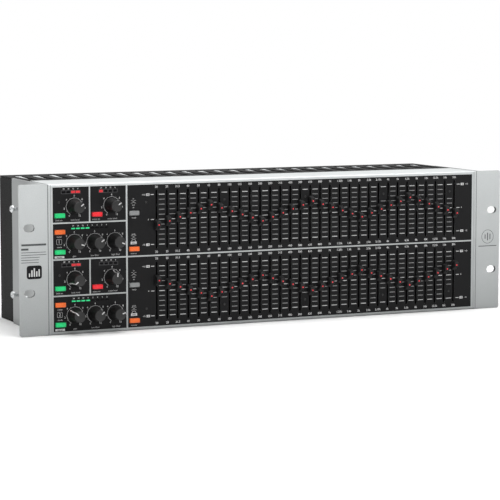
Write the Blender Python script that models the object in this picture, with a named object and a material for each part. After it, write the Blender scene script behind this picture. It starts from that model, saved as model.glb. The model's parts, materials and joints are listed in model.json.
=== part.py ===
"""A two-channel, 31-band graphic equalizer for a 19-inch rack, three units high.

The front stands at -Y and the connectors at +Y. The origin is under the middle
of the whole object, on the surface that it stands on. Every length is in metres.
"""

import math

import bmesh
import bpy
from mathutils import Matrix, Vector

# Clearances
GAP = 0.0003                 # between pieces that meet
RUNNING_GAP = 0.0003         # around a stem, a shaft or a button in its hole

# Rack panel and its ears
RACK_WIDTH = 0.4826
PANEL_HEIGHT = 0.1325
EAR_THICKNESS = 0.003
EAR_CORNER = 0.0015
EAR_SLOT_INSET = 0.00875      # from the panel's end
EAR_SLOT_PITCH_Z = 0.05715
EAR_SLOT_LENGTH = 0.0103
EAR_SLOT_WIDTH = 0.007
BRACKET_SIDE_THICKNESS = 0.002
BRACKET_DEPTH = 0.087

# Folded steel case
CASE_INSET = 0.0238          # the ear's reach past the case
CASE_DEPTH = 0.130
CASE_WALL = 0.0012
COVER_LIP_HEIGHT = 0.009

# Front panel, a channel that is open to the rear
FRONT_THICKNESS = 0.002
FLANGE_THICKNESS = 0.0015
FLANGE_DEPTH = 0.049
FOLD_RADIUS = 0.0016

# Vent slots in the top cover
VENT_PITCH = 0.0165
VENT_WIDTH = 0.007
VENT_SIDE_MARGIN = 0.0075
VENT_FRONT_MARGIN = 0.0107
VENT_REAR_MARGIN = 0.012

# Channels and their faders
CHANNEL_PITCH = 0.0641
BAND_COUNT = 31
BANDS_PER_OCTAVE = 3
FIRST_FADER_X = -0.1137
FADER_PITCH = 0.01015
FADER_TRAVEL = 0.0223        # each way from flat
FADER_SLOT_WIDTH = 0.0017
FADER_SLOT_END = 0.0018      # slot beyond the stem at full travel
STEM_HEIGHT = 0.004
STEM_REACH = 0.009           # behind the panel's face
CAP_WIDTH = 0.005
CAP_HEIGHT = 0.0094
CAP_BASE = 0.0016
CAP_STANDOUT = 0.0067
CAP_CLEARANCE = 0.0008
RIDGE_WIDTH = 0.0042
RIDGE_HEIGHT = 0.0046
RIDGE_RISE = 0.0009
LINK_START = 0.0026          # the bar that joins the stems of one octave
LINK_THICKNESS = 0.002
CURVE_PERIOD = 10            # bands from one crest of the set curve to the next
UPPER_CREST_BAND = 5
UPPER_CREST = 0.0116
UPPER_TROUGH = -0.0048
LOWER_CREST_BAND = 0
LOWER_CREST = 0.0096
LOWER_TROUGH = -0.0069
BANK_START = 0.0052
BANK_DEPTH = 0.0078
BANK_MARGIN = 0.003
TRACK_FLOOR_GAP = 0.001
BOARD_THICKNESS = 0.0016

# Knobs and their pots
KNOB_STANDOUT = 0.014
KNOB_FACE_RADIUS = 0.0049
KNOB_WAIST_RADIUS = 0.0051
KNOB_SKIRT_RADIUS = 0.0066
KNOB_WAIST = 0.0085
KNOB_SKIRT = 0.0022
KNOB_CLEARANCE = 0.0008
KNOB_SEGMENTS = 16
SHAFT_RADIUS = 0.003
SHAFT_REACH = 0.008
SHAFT_HOLE_GAP = 0.0005      # around the shaft in the panel
POT_SIZE = 0.0095
POT_START = 0.0045
KNOB_PLACES = {              # x, height above the fader middle
    "limiter_knob": (-0.1909, 0.0142),
    "noise_gate_knob": (-0.1561, 0.0142),
    "gain_knob": (-0.1911, -0.0176),
    "low_cut_knob": (-0.1722, -0.0176),
    "high_cut_knob": (-0.1533, -0.0176),
}

# Push buttons and their switches
BUTTON_WIDTH = 0.0094
BUTTON_HEIGHT = 0.0039
BUTTON_STANDOUT = 0.0012
BUTTON_EDGE = 0.0003
BUTTON_REACH = 0.0062
BUTTON_TRAVEL = 0.0025
SWITCH_HEIGHT = 0.007
BUTTON_PLACES = {            # x, height above the fader middle
    "limiter_button": (-0.2044, 0.0064),
    "noise_gate_button": (-0.1698, 0.0065),
    "meter_button": (-0.2044, -0.0080),
    "bypass_button": (-0.2044, -0.0256),
    "range_button": (-0.1350, 0.0064),
    "contour_button": (-0.1350, -0.0256),
}

# Light bars: first lamp's x, height above the fader middle, count, pitch, window height
LAMP_WIDTH = 0.0030
LAMP_FACE = 0.0003
LAMP_BARS = (
    (-0.2007, 0.0269, 4, 0.00438, 0.0022),
    (-0.1660, 0.0269, 4, 0.00438, 0.0022),
    (-0.1922, -0.0052, 8, 0.00444, 0.0016),
)
CONTROL_BOARD_LEFT = -0.2125
CONTROL_BOARD_RIGHT = -0.1275
CONTROL_BOARD_MARGIN = 0.0055

# Inside the case
MAIN_BOARD_WIDTH = 0.300
MAIN_BOARD_X = -0.030
MAIN_BOARD_FRONT = 0.030     # behind the panel's face
STANDOFF_HEIGHT = 0.006
STANDOFF_RADIUS = 0.003
STANDOFF_INSET = 0.008
CHIP_COUNT = 9
CHIP_LENGTH = 0.0195
CHIP_WIDTH = 0.0068
CHIP_HEIGHT = 0.004
CAPACITOR_COUNT = 4
CAPACITOR_RADIUS = 0.009
CAPACITOR_HEIGHT = 0.030
TRANSFORMER_INSET = 0.0455   # its middle, from the side of the case
TRANSFORMER_REAR_GAP = 0.003  # from its winding to the inlet
TRANSFORMER_WIDTH = 0.060
TRANSFORMER_DEPTH = 0.024
TRANSFORMER_HEIGHT = 0.050
COIL_OVERHANG = 0.007
COIL_DROP = 0.009

# Rear connectors
XLR_RADIUS = 0.0115
XLR_CUP_RADIUS = 0.0082
XLR_CUP_DEPTH = 0.012
XLR_PIN_RADIUS = 0.0012
XLR_PIN_LENGTH = 0.006
XLR_PIN_CIRCLE = 0.0042
XLR_STANDOUT = 0.0018
OUTPUT_XLR_INSET = 0.0315    # from the side of the case
INPUT_XLR_INSET = 0.0655
JACK_RADIUS = 0.0055
JACK_BORE_RADIUS = 0.0033
JACK_BORE_DEPTH = 0.022
JACK_STANDOUT = 0.0035
JACK_INSETS = (0.0935, 0.1135)
IO_BOARD_SETBACK = 0.027     # in front of the rear wall's outer face
IO_BOARD_INSET = 0.0115
IO_BOARD_WIDTH = 0.116
IO_BOARD_MARGIN = 0.012

# Mains inlet with its rocker switch, and the fuse
REAR_STANDOUT = 0.006
INLET_INSET = 0.0375         # its middle, from the side of the case
INLET_Z = 0.030
MODULE_FLANGE_WIDTH = 0.032
MODULE_FLANGE_BOTTOM = 0.014
MODULE_FLANGE_TOP = 0.076
MODULE_FLANGE_THICKNESS = 0.002
MODULE_BODY_INSET = 0.0025
MODULE_BODY_DEPTH = 0.020
INLET_WIDTH = 0.024
INLET_HEIGHT = 0.0165
INLET_DEPTH = 0.014
BLADE_WIDTH = 0.002
BLADE_HEIGHT = 0.004
BLADE_LENGTH = 0.0075
BLADE_SPACING = 0.007
ROCKER_Z = 0.060
ROCKER_WIDTH = 0.0125
ROCKER_HALF_HEIGHT = 0.010
ROCKER_END = 0.004
ROCKER_DIP = 0.0022
ROCKER_KEEL = 0.0035
ROCKER_TILT = math.radians(9)
ROCKER_WELL_DEPTH = 0.0105
ROCKER_END_GAP = 0.0012
FUSE_INSET = 0.0875
FUSE_Z = 0.030
FUSE_RADIUS = 0.006
FUSE_CAP_RADIUS = 0.008
FUSE_CAP_STANDOUT = 0.005
FUSE_REACH = 0.030

# Worked out from the sizes above
CASE_WIDTH = RACK_WIDTH - 2 * CASE_INSET
CASE_HALF = CASE_WIDTH / 2
FRONT_Y = -(CASE_DEPTH + REAR_STANDOUT - KNOB_STANDOUT) / 2
REAR_Y = FRONT_Y + CASE_DEPTH
PANEL_HALF = CASE_HALF - CASE_WALL - 4 * GAP
CASE_TOP = PANEL_HEIGHT - CASE_WALL - GAP
BANK_HALF_HEIGHT = FADER_TRAVEL + STEM_HEIGHT / 2 + FADER_SLOT_END + BANK_MARGIN
STEM_WIDTH = FADER_SLOT_WIDTH - 2 * RUNNING_GAP
BOARD_START = BANK_START + BANK_DEPTH + GAP
UPPER_FADER_Z = (PANEL_HEIGHT + CHANNEL_PITCH) / 2
CHANNELS = (("upper", UPPER_FADER_Z), ("lower", UPPER_FADER_Z - CHANNEL_PITCH))
OUTPUT_XLR_X = -CASE_HALF + OUTPUT_XLR_INSET
INPUT_XLR_X = -CASE_HALF + INPUT_XLR_INSET
JACK_XS = [-CASE_HALF + inset for inset in JACK_INSETS]
INLET_X = CASE_HALF - INLET_INSET
FUSE_X = CASE_HALF - FUSE_INSET
BACKWARD = (0, 1, 0)
UPWARD = (0, 0, 1)


def make_material(name, colour, roughness, metallic=0.0):
    material = bpy.data.materials.new(name)
    material.use_nodes = True
    shader = material.node_tree.nodes["Principled BSDF"]
    shader.inputs["Base Color"].default_value = (*colour, 1.0)
    shader.inputs["Roughness"].default_value = roughness
    shader.inputs["Metallic"].default_value = metallic
    return material


def painted_silver():
    return make_material("painted_silver", (0.55, 0.57, 0.57), 0.35, 0.6)


def black_steel():
    return make_material("black_steel", (0.03, 0.03, 0.03), 0.55)


def black_plastic():
    return make_material("black_plastic", (0.02, 0.02, 0.022), 0.45)


def knob_plastic():
    return make_material("knob_plastic", (0.035, 0.035, 0.037), 0.5)


def circuit_board():
    return make_material("circuit_board", (0.02, 0.12, 0.05), 0.5)


def transformer_steel():
    return make_material("transformer_steel", (0.25, 0.24, 0.22), 0.5, 0.7)


def fader_track():
    return make_material("fader_track", (0.012, 0.012, 0.012), 0.6)


def button_plastic(name, colour):
    return make_material(name, colour, 0.4)


def add_box(mesh, low, high):
    """A box between two corners."""
    size = Vector(high) - Vector(low)
    middle = (Vector(high) + Vector(low)) / 2
    place = Matrix.Translation(middle) @ Matrix.Diagonal((*size, 1.0))
    bmesh.ops.create_cube(mesh, size=1.0, matrix=place)


def add_extrusion(mesh, outline, direction):
    """A flat outline, moved along a direction to make a solid."""
    face = mesh.faces.new([mesh.verts.new(point) for point in outline])
    swept = bmesh.ops.extrude_face_region(mesh, geom=[face])
    moved = [item for item in swept["geom"] if isinstance(item, bmesh.types.BMVert)]
    bmesh.ops.translate(mesh, vec=Vector(direction), verts=moved)


def add_loft(mesh, rings):
    """Rectangles across Y, joined in turn and closed at both ends.

    Each ring is its y, half width, half height and middle height.
    """
    loops = []
    for y, half_width, half_height, z in rings:
        corners = ((-1, -1), (1, -1), (1, 1), (-1, 1))
        loops.append([mesh.verts.new((a * half_width, y, z + b * half_height)) for a, b in corners])
    for near, far in zip(loops, loops[1:]):
        for i in range(4):
            j = (i + 1) % 4
            mesh.faces.new((near[i], near[j], far[j], far[i]))
    mesh.faces.new(loops[0])
    mesh.faces.new(reversed(loops[-1]))


def add_turned(mesh, profile, segments):
    """A profile of (radius, y) points turned around Y. It starts and ends on the axis."""
    start = mesh.verts.new((0, profile[0][1], 0))
    end = mesh.verts.new((0, profile[-1][1], 0))
    rings = []
    for radius, y in profile[1:-1]:
        turn = [2 * math.pi * i / segments for i in range(segments)]
        rings.append([mesh.verts.new((radius * math.cos(a), y, radius * math.sin(a))) for a in turn])
    for i in range(segments):
        j = (i + 1) % segments
        mesh.faces.new((start, rings[0][i], rings[0][j]))
        mesh.faces.new((end, rings[-1][j], rings[-1][i]))
        for near, far in zip(rings, rings[1:]):
            mesh.faces.new((near[i], far[i], far[j], near[j]))


def add_rod(mesh, middle, axis, radius, length, segments=16):
    """A round rod that starts at its middle point and runs along an axis."""
    turn = Vector((0, 0, 1)).rotation_difference(Vector(axis)).to_matrix().to_4x4()
    place = Matrix.Translation(Vector(middle) + Vector(axis) * length / 2) @ turn
    bmesh.ops.create_cone(
        mesh, cap_ends=True, segments=segments, radius1=radius, radius2=radius,
        depth=length, matrix=place,
    )


def arc(centre, radius, start, end, steps):
    """Points of an arc in a plane, from one angle to another in degrees."""
    points = []
    for i in range(steps + 1):
        angle = math.radians(start + (end - start) * i / steps)
        points.append((centre[0] + radius * math.cos(angle), centre[1] + radius * math.sin(angle)))
    return points


def obround(middle, length, width, steps=4):
    """A slot outline with round ends, its long way along the first axis."""
    reach = (length - width) / 2
    right = arc((middle[0] + reach, middle[1]), width / 2, -90, 90, steps)
    left = arc((middle[0] - reach, middle[1]), width / 2, 90, 270, steps)
    return right + left


def finish_object(name, mesh, material, place=(0, 0, 0), smooth=False):
    """Turn the built mesh into an object with its faces pointing out."""
    bmesh.ops.recalc_face_normals(mesh, faces=mesh.faces)
    data = bpy.data.meshes.new(name)
    mesh.to_mesh(data)
    mesh.free()
    if smooth:
        data.shade_smooth()
        data.set_sharp_from_angle(angle=math.radians(35))
    piece = bpy.data.objects.new(name, data)
    piece.location = place
    bpy.context.scene.collection.objects.link(piece)
    if material is not None:
        data.materials.append(material)
    return piece


def combine(piece, mesh, operation):
    """Cut the shapes out of a piece, or join them to it."""
    tool = finish_object(f"{piece.name}_{operation.lower()}", mesh, None, piece.location)
    tool.hide_render = True
    tool.display_type = "WIRE"
    modifier = piece.modifiers.new(operation.title(), "BOOLEAN")
    modifier.operation = operation
    modifier.object = tool


def band_x(band):
    return FIRST_FADER_X + band * FADER_PITCH


def set_curve(band, crest_band, crest, trough):
    """A straight-sided wave: the height at which a fader has been left."""
    phase = ((band - crest_band) % CURVE_PERIOD) / CURVE_PERIOD
    share = abs(2 * phase - 1)
    return trough + (crest - trough) * share


def fader_height(channel, band):
    if channel == "upper":
        return set_curve(band, UPPER_CREST_BAND, UPPER_CREST, UPPER_TROUGH)
    return set_curve(band, LOWER_CREST_BAND, LOWER_CREST, LOWER_TROUGH)


def octave_groups():
    """Bands that move together: whole octaves, with what is left at the two ends."""
    first = (BAND_COUNT % BANDS_PER_OCTAVE + BANDS_PER_OCTAVE) // 2
    edges = list(range(first, BAND_COUNT, BANDS_PER_OCTAVE))
    return [range(a, b) for a, b in zip([0] + edges, edges + [BAND_COUNT])]


def front_panel(material):
    """A channel folded from one plate, with every slot, hole and window cut through it."""
    steps = 3
    inner = max(FOLD_RADIUS - FRONT_THICKNESS, 0.0002)
    bottom_outer = arc((FRONT_Y + FOLD_RADIUS, FOLD_RADIUS), FOLD_RADIUS, 270, 180, steps)
    top_outer = [(y, PANEL_HEIGHT - z) for y, z in reversed(bottom_outer)]
    corner = (FRONT_Y + FRONT_THICKNESS + inner, FLANGE_THICKNESS + inner)
    bottom_inner = arc(corner, inner, 270, 180, 1)
    top_inner = [(y, PANEL_HEIGHT - z) for y, z in reversed(bottom_inner)]
    back = FRONT_Y + FLANGE_DEPTH
    outline = [(back, 0)] + bottom_outer + top_outer + [(back, PANEL_HEIGHT)]
    outline += [(back, PANEL_HEIGHT - FLANGE_THICKNESS)] + list(reversed(top_inner))
    outline += list(reversed(bottom_inner)) + [(back, FLANGE_THICKNESS)]
    mesh = bmesh.new()
    add_extrusion(mesh, [(-PANEL_HALF, y, z) for y, z in outline], (2 * PANEL_HALF, 0, 0))
    panel = finish_object("front_panel", mesh, material)

    cuts = bmesh.new()
    through = (FRONT_Y - FRONT_THICKNESS, FRONT_Y + 2 * FRONT_THICKNESS)
    slot_half = FADER_TRAVEL + STEM_HEIGHT / 2 + FADER_SLOT_END

    def window(x, z, half_width, half_height):
        low = (x - half_width, through[0], z - half_height)
        high = (x + half_width, through[1], z + half_height)
        add_box(cuts, low, high)

    for channel, middle in CHANNELS:
        for band in range(BAND_COUNT):
            window(band_x(band), middle, FADER_SLOT_WIDTH / 2, slot_half)
        for x, rise in BUTTON_PLACES.values():
            half_width = BUTTON_WIDTH / 2 + RUNNING_GAP
            window(x, middle + rise, half_width, BUTTON_HEIGHT / 2 + RUNNING_GAP)
        for first, rise, count, pitch, height in LAMP_BARS:
            for i in range(count):
                half_width = LAMP_WIDTH / 2 + RUNNING_GAP
                window(first + i * pitch, middle + rise, half_width, height / 2 + RUNNING_GAP)
        for x, rise in KNOB_PLACES.values():
            start = (x, through[0], middle + rise)
            radius = SHAFT_RADIUS + SHAFT_HOLE_GAP
            add_rod(cuts, start, BACKWARD, radius, through[1] - through[0], 12)
    combine(panel, cuts, "DIFFERENCE")


def rack_bracket(side, name, material):
    """An angle that carries one ear of the rack panel, bolted to the side of the case."""
    inner = PANEL_HALF + GAP
    outer = RACK_WIDTH / 2
    plate_in = CASE_HALF + GAP
    plate_out = plate_in + BRACKET_SIDE_THICKNESS
    top = PANEL_HEIGHT
    corner_low = arc((outer - EAR_CORNER, EAR_CORNER), EAR_CORNER, -90, 0, 3)
    corner_high = arc((outer - EAR_CORNER, top - EAR_CORNER), EAR_CORNER, 0, 90, 3)
    ear = [(inner, 0)] + corner_low + corner_high + [(inner, top)]
    mesh = bmesh.new()
    add_extrusion(mesh, [(side * x, FRONT_Y, z) for x, z in ear], (0, EAR_THICKNESS, 0))
    bracket = finish_object(name, mesh, material)

    plate = bmesh.new()
    low = (min(side * plate_in, side * plate_out), FRONT_Y + EAR_THICKNESS / 2, 0)
    high = (max(side * plate_in, side * plate_out), FRONT_Y + BRACKET_DEPTH, top)
    add_box(plate, low, high)
    combine(bracket, plate, "UNION")

    slots = bmesh.new()
    for sign in (-1, 1):
        middle = (side * (outer - EAR_SLOT_INSET), top / 2 + sign * EAR_SLOT_PITCH_Z / 2)
        outline = obround(middle, EAR_SLOT_LENGTH, EAR_SLOT_WIDTH)
        start = FRONT_Y - EAR_THICKNESS
        add_extrusion(slots, [(x, start, z) for x, z in outline], (0, 3 * EAR_THICKNESS, 0))
    combine(bracket, slots, "DIFFERENCE")


def chassis_tray(material):
    """Floor, sides and rear wall folded from one sheet, open at the front and the top."""
    half = CASE_HALF
    front = FRONT_Y + EAR_THICKNESS + GAP
    mesh = bmesh.new()
    add_box(mesh, (-half, front, 0), (half, REAR_Y, CASE_TOP))
    tray = finish_object("chassis_tray", mesh, material)

    hollow = bmesh.new()
    floor_front = FRONT_Y + FLANGE_DEPTH + GAP
    low = (-half + CASE_WALL, floor_front, CASE_WALL)
    high = (half - CASE_WALL, REAR_Y - CASE_WALL, PANEL_HEIGHT)
    add_box(hollow, low, high)
    combine(tray, hollow, "DIFFERENCE")

    mouth = bmesh.new()
    low = (-half + CASE_WALL, FRONT_Y, -CASE_WALL)
    high = (half - CASE_WALL, floor_front + CASE_WALL, PANEL_HEIGHT)
    add_box(mouth, low, high)
    combine(tray, mouth, "DIFFERENCE")

    holes = bmesh.new()
    start = REAR_Y - 2 * CASE_WALL
    depth = 3 * CASE_WALL
    for channel, z in CHANNELS:
        for x in (OUTPUT_XLR_X, INPUT_XLR_X):
            add_rod(holes, (x, start, z), BACKWARD, XLR_RADIUS + GAP, depth)
        for x in JACK_XS:
            add_rod(holes, (x, start, z), BACKWARD, JACK_RADIUS + GAP, depth, 12)
    add_rod(holes, (FUSE_X, start, FUSE_Z), BACKWARD, FUSE_RADIUS + GAP, depth, 12)
    half_width = MODULE_FLANGE_WIDTH / 2 - MODULE_BODY_INSET + GAP
    low = (INLET_X - half_width, start, MODULE_FLANGE_BOTTOM + MODULE_BODY_INSET - GAP)
    high = (INLET_X + half_width, start + depth, MODULE_FLANGE_TOP - MODULE_BODY_INSET + GAP)
    add_box(holes, low, high)
    combine(tray, holes, "DIFFERENCE")


def top_cover(material):
    """A flat lid with a lip down each side and a row of long vent slots."""
    half = CASE_HALF
    lip_out = half - CASE_WALL - GAP
    lip_in = lip_out - CASE_WALL
    under = PANEL_HEIGHT - CASE_WALL
    lip_end = CASE_TOP - COVER_LIP_HEIGHT
    right = [(half, PANEL_HEIGHT), (half, under), (lip_out, under)]
    right += [(lip_out, lip_end), (lip_in, lip_end), (lip_in, under)]
    outline = right + [(-x, z) for x, z in reversed(right)]
    front = FRONT_Y + FLANGE_DEPTH + GAP
    back = REAR_Y - CASE_WALL - GAP
    mesh = bmesh.new()
    add_extrusion(mesh, [(x, front, z) for x, z in outline], (0, back - front, 0))
    cover = finish_object("top_cover", mesh, material)

    rear_edge = bmesh.new()
    low = (-half, back - CASE_WALL, under)
    add_box(rear_edge, low, (half, REAR_Y, PANEL_HEIGHT))
    combine(cover, rear_edge, "UNION")

    vents = bmesh.new()
    first_y = front + VENT_FRONT_MARGIN
    last_y = REAR_Y - VENT_REAR_MARGIN
    count = int((CASE_WIDTH - 2 * VENT_SIDE_MARGIN) / VENT_PITCH) + 1
    for i in range(count):
        x = (i - (count - 1) / 2) * VENT_PITCH
        outline = obround(((first_y + last_y) / 2, x), last_y - first_y, VENT_WIDTH, 3)
        low = under - CASE_WALL
        add_extrusion(vents, [(x, y, low) for y, x in outline], (0, 0, 3 * CASE_WALL))
    combine(cover, vents, "DIFFERENCE")


def fader_bank(channel, middle, material):
    """The row of slide pots of one channel: a block with a track for every stem."""
    left = band_x(0) - FADER_PITCH / 2 + GAP
    right = band_x(BAND_COUNT - 1) + FADER_PITCH / 2 - GAP
    front = FRONT_Y + BANK_START
    mesh = bmesh.new()
    low = (left, front, middle - BANK_HALF_HEIGHT)
    add_box(mesh, low, (right, front + BANK_DEPTH, middle + BANK_HALF_HEIGHT))
    bank = finish_object(f"{channel}_fader_bank", mesh, material)

    tracks = bmesh.new()
    half_width = STEM_WIDTH / 2 + RUNNING_GAP
    half_height = FADER_TRAVEL + STEM_HEIGHT / 2 + FADER_SLOT_END
    for band in range(BAND_COUNT):
        low = (band_x(band) - half_width, front - LINK_THICKNESS, middle - half_height)
        floor = FRONT_Y + STEM_REACH + TRACK_FLOOR_GAP
        add_box(tracks, low, (band_x(band) + half_width, floor, middle + half_height))
    combine(bank, tracks, "DIFFERENCE")


def fader_board(channel, middle, material):
    """The circuit board that the slide pots of one channel are soldered to."""
    left = CONTROL_BOARD_RIGHT + GAP
    right = band_x(BAND_COUNT - 1) + FADER_PITCH
    front = FRONT_Y + BOARD_START
    mesh = bmesh.new()
    low = (left, front, middle - BANK_HALF_HEIGHT)
    add_box(mesh, low, (right, front + BOARD_THICKNESS, middle + BANK_HALF_HEIGHT))
    finish_object(f"{channel}_fader_board", mesh, material)


def fader_group(name, channel, middle, bands, material):
    """The caps and stems of one octave, with the hidden bar that links them.

    The group's own origin is at its first stem, at the flat position.
    """
    origin = (band_x(bands[0]), FRONT_Y, middle)
    heights = [fader_height(channel, band) for band in bands]
    xs = [band_x(band) - origin[0] for band in bands]
    reach = STEM_HEIGHT / 2
    mesh = bmesh.new()
    low = (xs[0] - reach, LINK_START, min(heights) - reach)
    high = (xs[-1] + reach, LINK_START + LINK_THICKNESS, max(heights) + reach)
    add_box(mesh, low, high)
    group = finish_object(name, mesh, material, origin)

    caps = bmesh.new()
    stem = (STEM_WIDTH / 2, STEM_HEIGHT / 2 - RUNNING_GAP)
    base = (CAP_WIDTH / 2, CAP_HEIGHT / 2)
    ridge = (RIDGE_WIDTH / 2, RIDGE_HEIGHT / 2)
    for x, z in zip(xs, heights):
        cap = bmesh.new()
        rings = [
            (-CAP_STANDOUT, *ridge, z + RIDGE_RISE),
            (-CAP_CLEARANCE - CAP_BASE, *base, z),
            (-CAP_CLEARANCE, *base, z),
            (-CAP_CLEARANCE, *stem, z),
            (STEM_REACH, *stem, z),
        ]
        add_loft(cap, rings)
        bmesh.ops.translate(cap, vec=(x, 0, 0), verts=cap.verts)
        add_copy(caps, cap)
    combine(group, caps, "UNION")


def add_copy(mesh, source):
    """Move one built shape into another mesh."""
    data = bpy.data.meshes.new("shape")
    source.to_mesh(data)
    source.free()
    mesh.from_mesh(data)
    bpy.data.meshes.remove(data)


def knob(name, x, z, material):
    """A skirted knob on its shaft. Its origin is on the shaft, at the panel's face."""
    profile = [
        (0, -KNOB_STANDOUT),
        (KNOB_FACE_RADIUS, -KNOB_STANDOUT),
        (KNOB_WAIST_RADIUS, -KNOB_WAIST),
        (KNOB_SKIRT_RADIUS, -KNOB_SKIRT),
        (KNOB_SKIRT_RADIUS, -KNOB_CLEARANCE),
        (SHAFT_RADIUS, -KNOB_CLEARANCE),
        (SHAFT_RADIUS, SHAFT_REACH),
        (0, SHAFT_REACH),
    ]
    mesh = bmesh.new()
    add_turned(mesh, profile, KNOB_SEGMENTS)
    finish_object(name, mesh, material, (x, FRONT_Y, z), smooth=True)


def push_button(name, x, z, material):
    """A rectangular button cap with a broken front edge. Its origin is at the panel's face."""
    half = (BUTTON_WIDTH / 2, BUTTON_HEIGHT / 2)
    rings = [
        (-BUTTON_STANDOUT, half[0] - BUTTON_EDGE, half[1] - BUTTON_EDGE, 0),
        (-BUTTON_STANDOUT + BUTTON_EDGE, *half, 0),
        (BUTTON_REACH, *half, 0),
    ]
    mesh = bmesh.new()
    add_loft(mesh, rings)
    finish_object(name, mesh, material, (x, FRONT_Y, z))


def control_board(material):
    """The board behind the left half of the front: pots, switches and lamps."""
    front = FRONT_Y + BOARD_START
    back = front + BOARD_THICKNESS
    inside = front + BOARD_THICKNESS / 2
    mesh = bmesh.new()
    low = (CONTROL_BOARD_LEFT, front, CONTROL_BOARD_MARGIN)
    add_box(mesh, low, (CONTROL_BOARD_RIGHT, back, PANEL_HEIGHT - CONTROL_BOARD_MARGIN))
    board = finish_object("control_board", mesh, material)

    parts = bmesh.new()
    holes = bmesh.new()
    switch_start = FRONT_Y + BUTTON_REACH + BUTTON_TRAVEL + RUNNING_GAP
    for channel, middle in CHANNELS:
        for x, rise in KNOB_PLACES.values():
            z = middle + rise
            half = POT_SIZE / 2
            add_box(parts, (x - half, FRONT_Y + POT_START, z - half), (x + half, inside, z + half))
            start = (x, FRONT_Y, z)
            add_rod(holes, start, BACKWARD, SHAFT_RADIUS + RUNNING_GAP, SHAFT_REACH + GAP, 16)
        for x, rise in BUTTON_PLACES.values():
            z = middle + rise
            half = BUTTON_WIDTH / 2
            low = (x - half, switch_start, z - SWITCH_HEIGHT / 2)
            add_box(parts, low, (x + half, inside, z + SWITCH_HEIGHT / 2))
        for first, rise, count, pitch, height in LAMP_BARS:
            for i in range(count):
                x = first + i * pitch
                z = middle + rise
                low = (x - LAMP_WIDTH / 2, FRONT_Y + LAMP_FACE, z - height / 2)
                add_box(parts, low, (x + LAMP_WIDTH / 2, inside, z + height / 2))
    combine(board, parts, "UNION")
    combine(board, holes, "DIFFERENCE")


def main_board(material):
    """The board with the filters and the supply, on standoffs above the floor."""
    left = MAIN_BOARD_X - MAIN_BOARD_WIDTH / 2
    right = MAIN_BOARD_X + MAIN_BOARD_WIDTH / 2
    front = FRONT_Y + MAIN_BOARD_FRONT
    back = REAR_Y - IO_BOARD_SETBACK - 4 * GAP
    under = CASE_WALL + STANDOFF_HEIGHT
    top = under + BOARD_THICKNESS
    mesh = bmesh.new()
    add_box(mesh, (left, front, under), (right, back, top))
    board = finish_object("main_board", mesh, material)

    parts = bmesh.new()
    inside = under + BOARD_THICKNESS / 2
    for x in (left + STANDOFF_INSET, right - STANDOFF_INSET):
        for y in (FRONT_Y + FLANGE_DEPTH + STANDOFF_INSET, back - STANDOFF_INSET):
            height = inside - CASE_WALL - GAP
            add_rod(parts, (x, y, CASE_WALL + GAP), UPWARD, STANDOFF_RADIUS, height, 8)
    chip_pitch = (MAIN_BOARD_WIDTH - 2 * STANDOFF_INSET) / (CHIP_COUNT + 1)
    for i in range(CHIP_COUNT):
        x = left + STANDOFF_INSET + (i + 1) * chip_pitch
        y = front + STANDOFF_INSET
        low = (x - CHIP_LENGTH / 2, y - CHIP_WIDTH / 2, inside)
        add_box(parts, low, (x + CHIP_LENGTH / 2, y + CHIP_WIDTH / 2, top + CHIP_HEIGHT))
    for i in range(CAPACITOR_COUNT):
        x = right - 2 * STANDOFF_INSET - CAPACITOR_RADIUS - i * 2.5 * CAPACITOR_RADIUS
        y = back - STANDOFF_INSET - CAPACITOR_RADIUS
        height = top + CAPACITOR_HEIGHT - inside
        add_rod(parts, (x, y, inside), UPWARD, CAPACITOR_RADIUS, height, 12)
    combine(board, parts, "UNION")


def mains_transformer(material):
    """A laminated core on the floor, with its winding standing out at front and back."""
    half = TRANSFORMER_WIDTH / 2
    middle = CASE_HALF - TRANSFORMER_INSET
    back = REAR_Y - MODULE_BODY_DEPTH - TRANSFORMER_REAR_GAP - COIL_OVERHANG
    front = back - TRANSFORMER_DEPTH
    bottom = CASE_WALL + GAP
    top = bottom + TRANSFORMER_HEIGHT
    mesh = bmesh.new()
    add_box(mesh, (middle - half, front, bottom), (middle + half, back, top))
    core = finish_object("mains_transformer", mesh, material)

    winding = bmesh.new()
    half -= COIL_DROP
    low = (middle - half, front - COIL_OVERHANG, bottom + COIL_DROP)
    add_box(winding, low, (middle + half, back + COIL_OVERHANG, top - COIL_DROP))
    combine(core, winding, "UNION")


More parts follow.
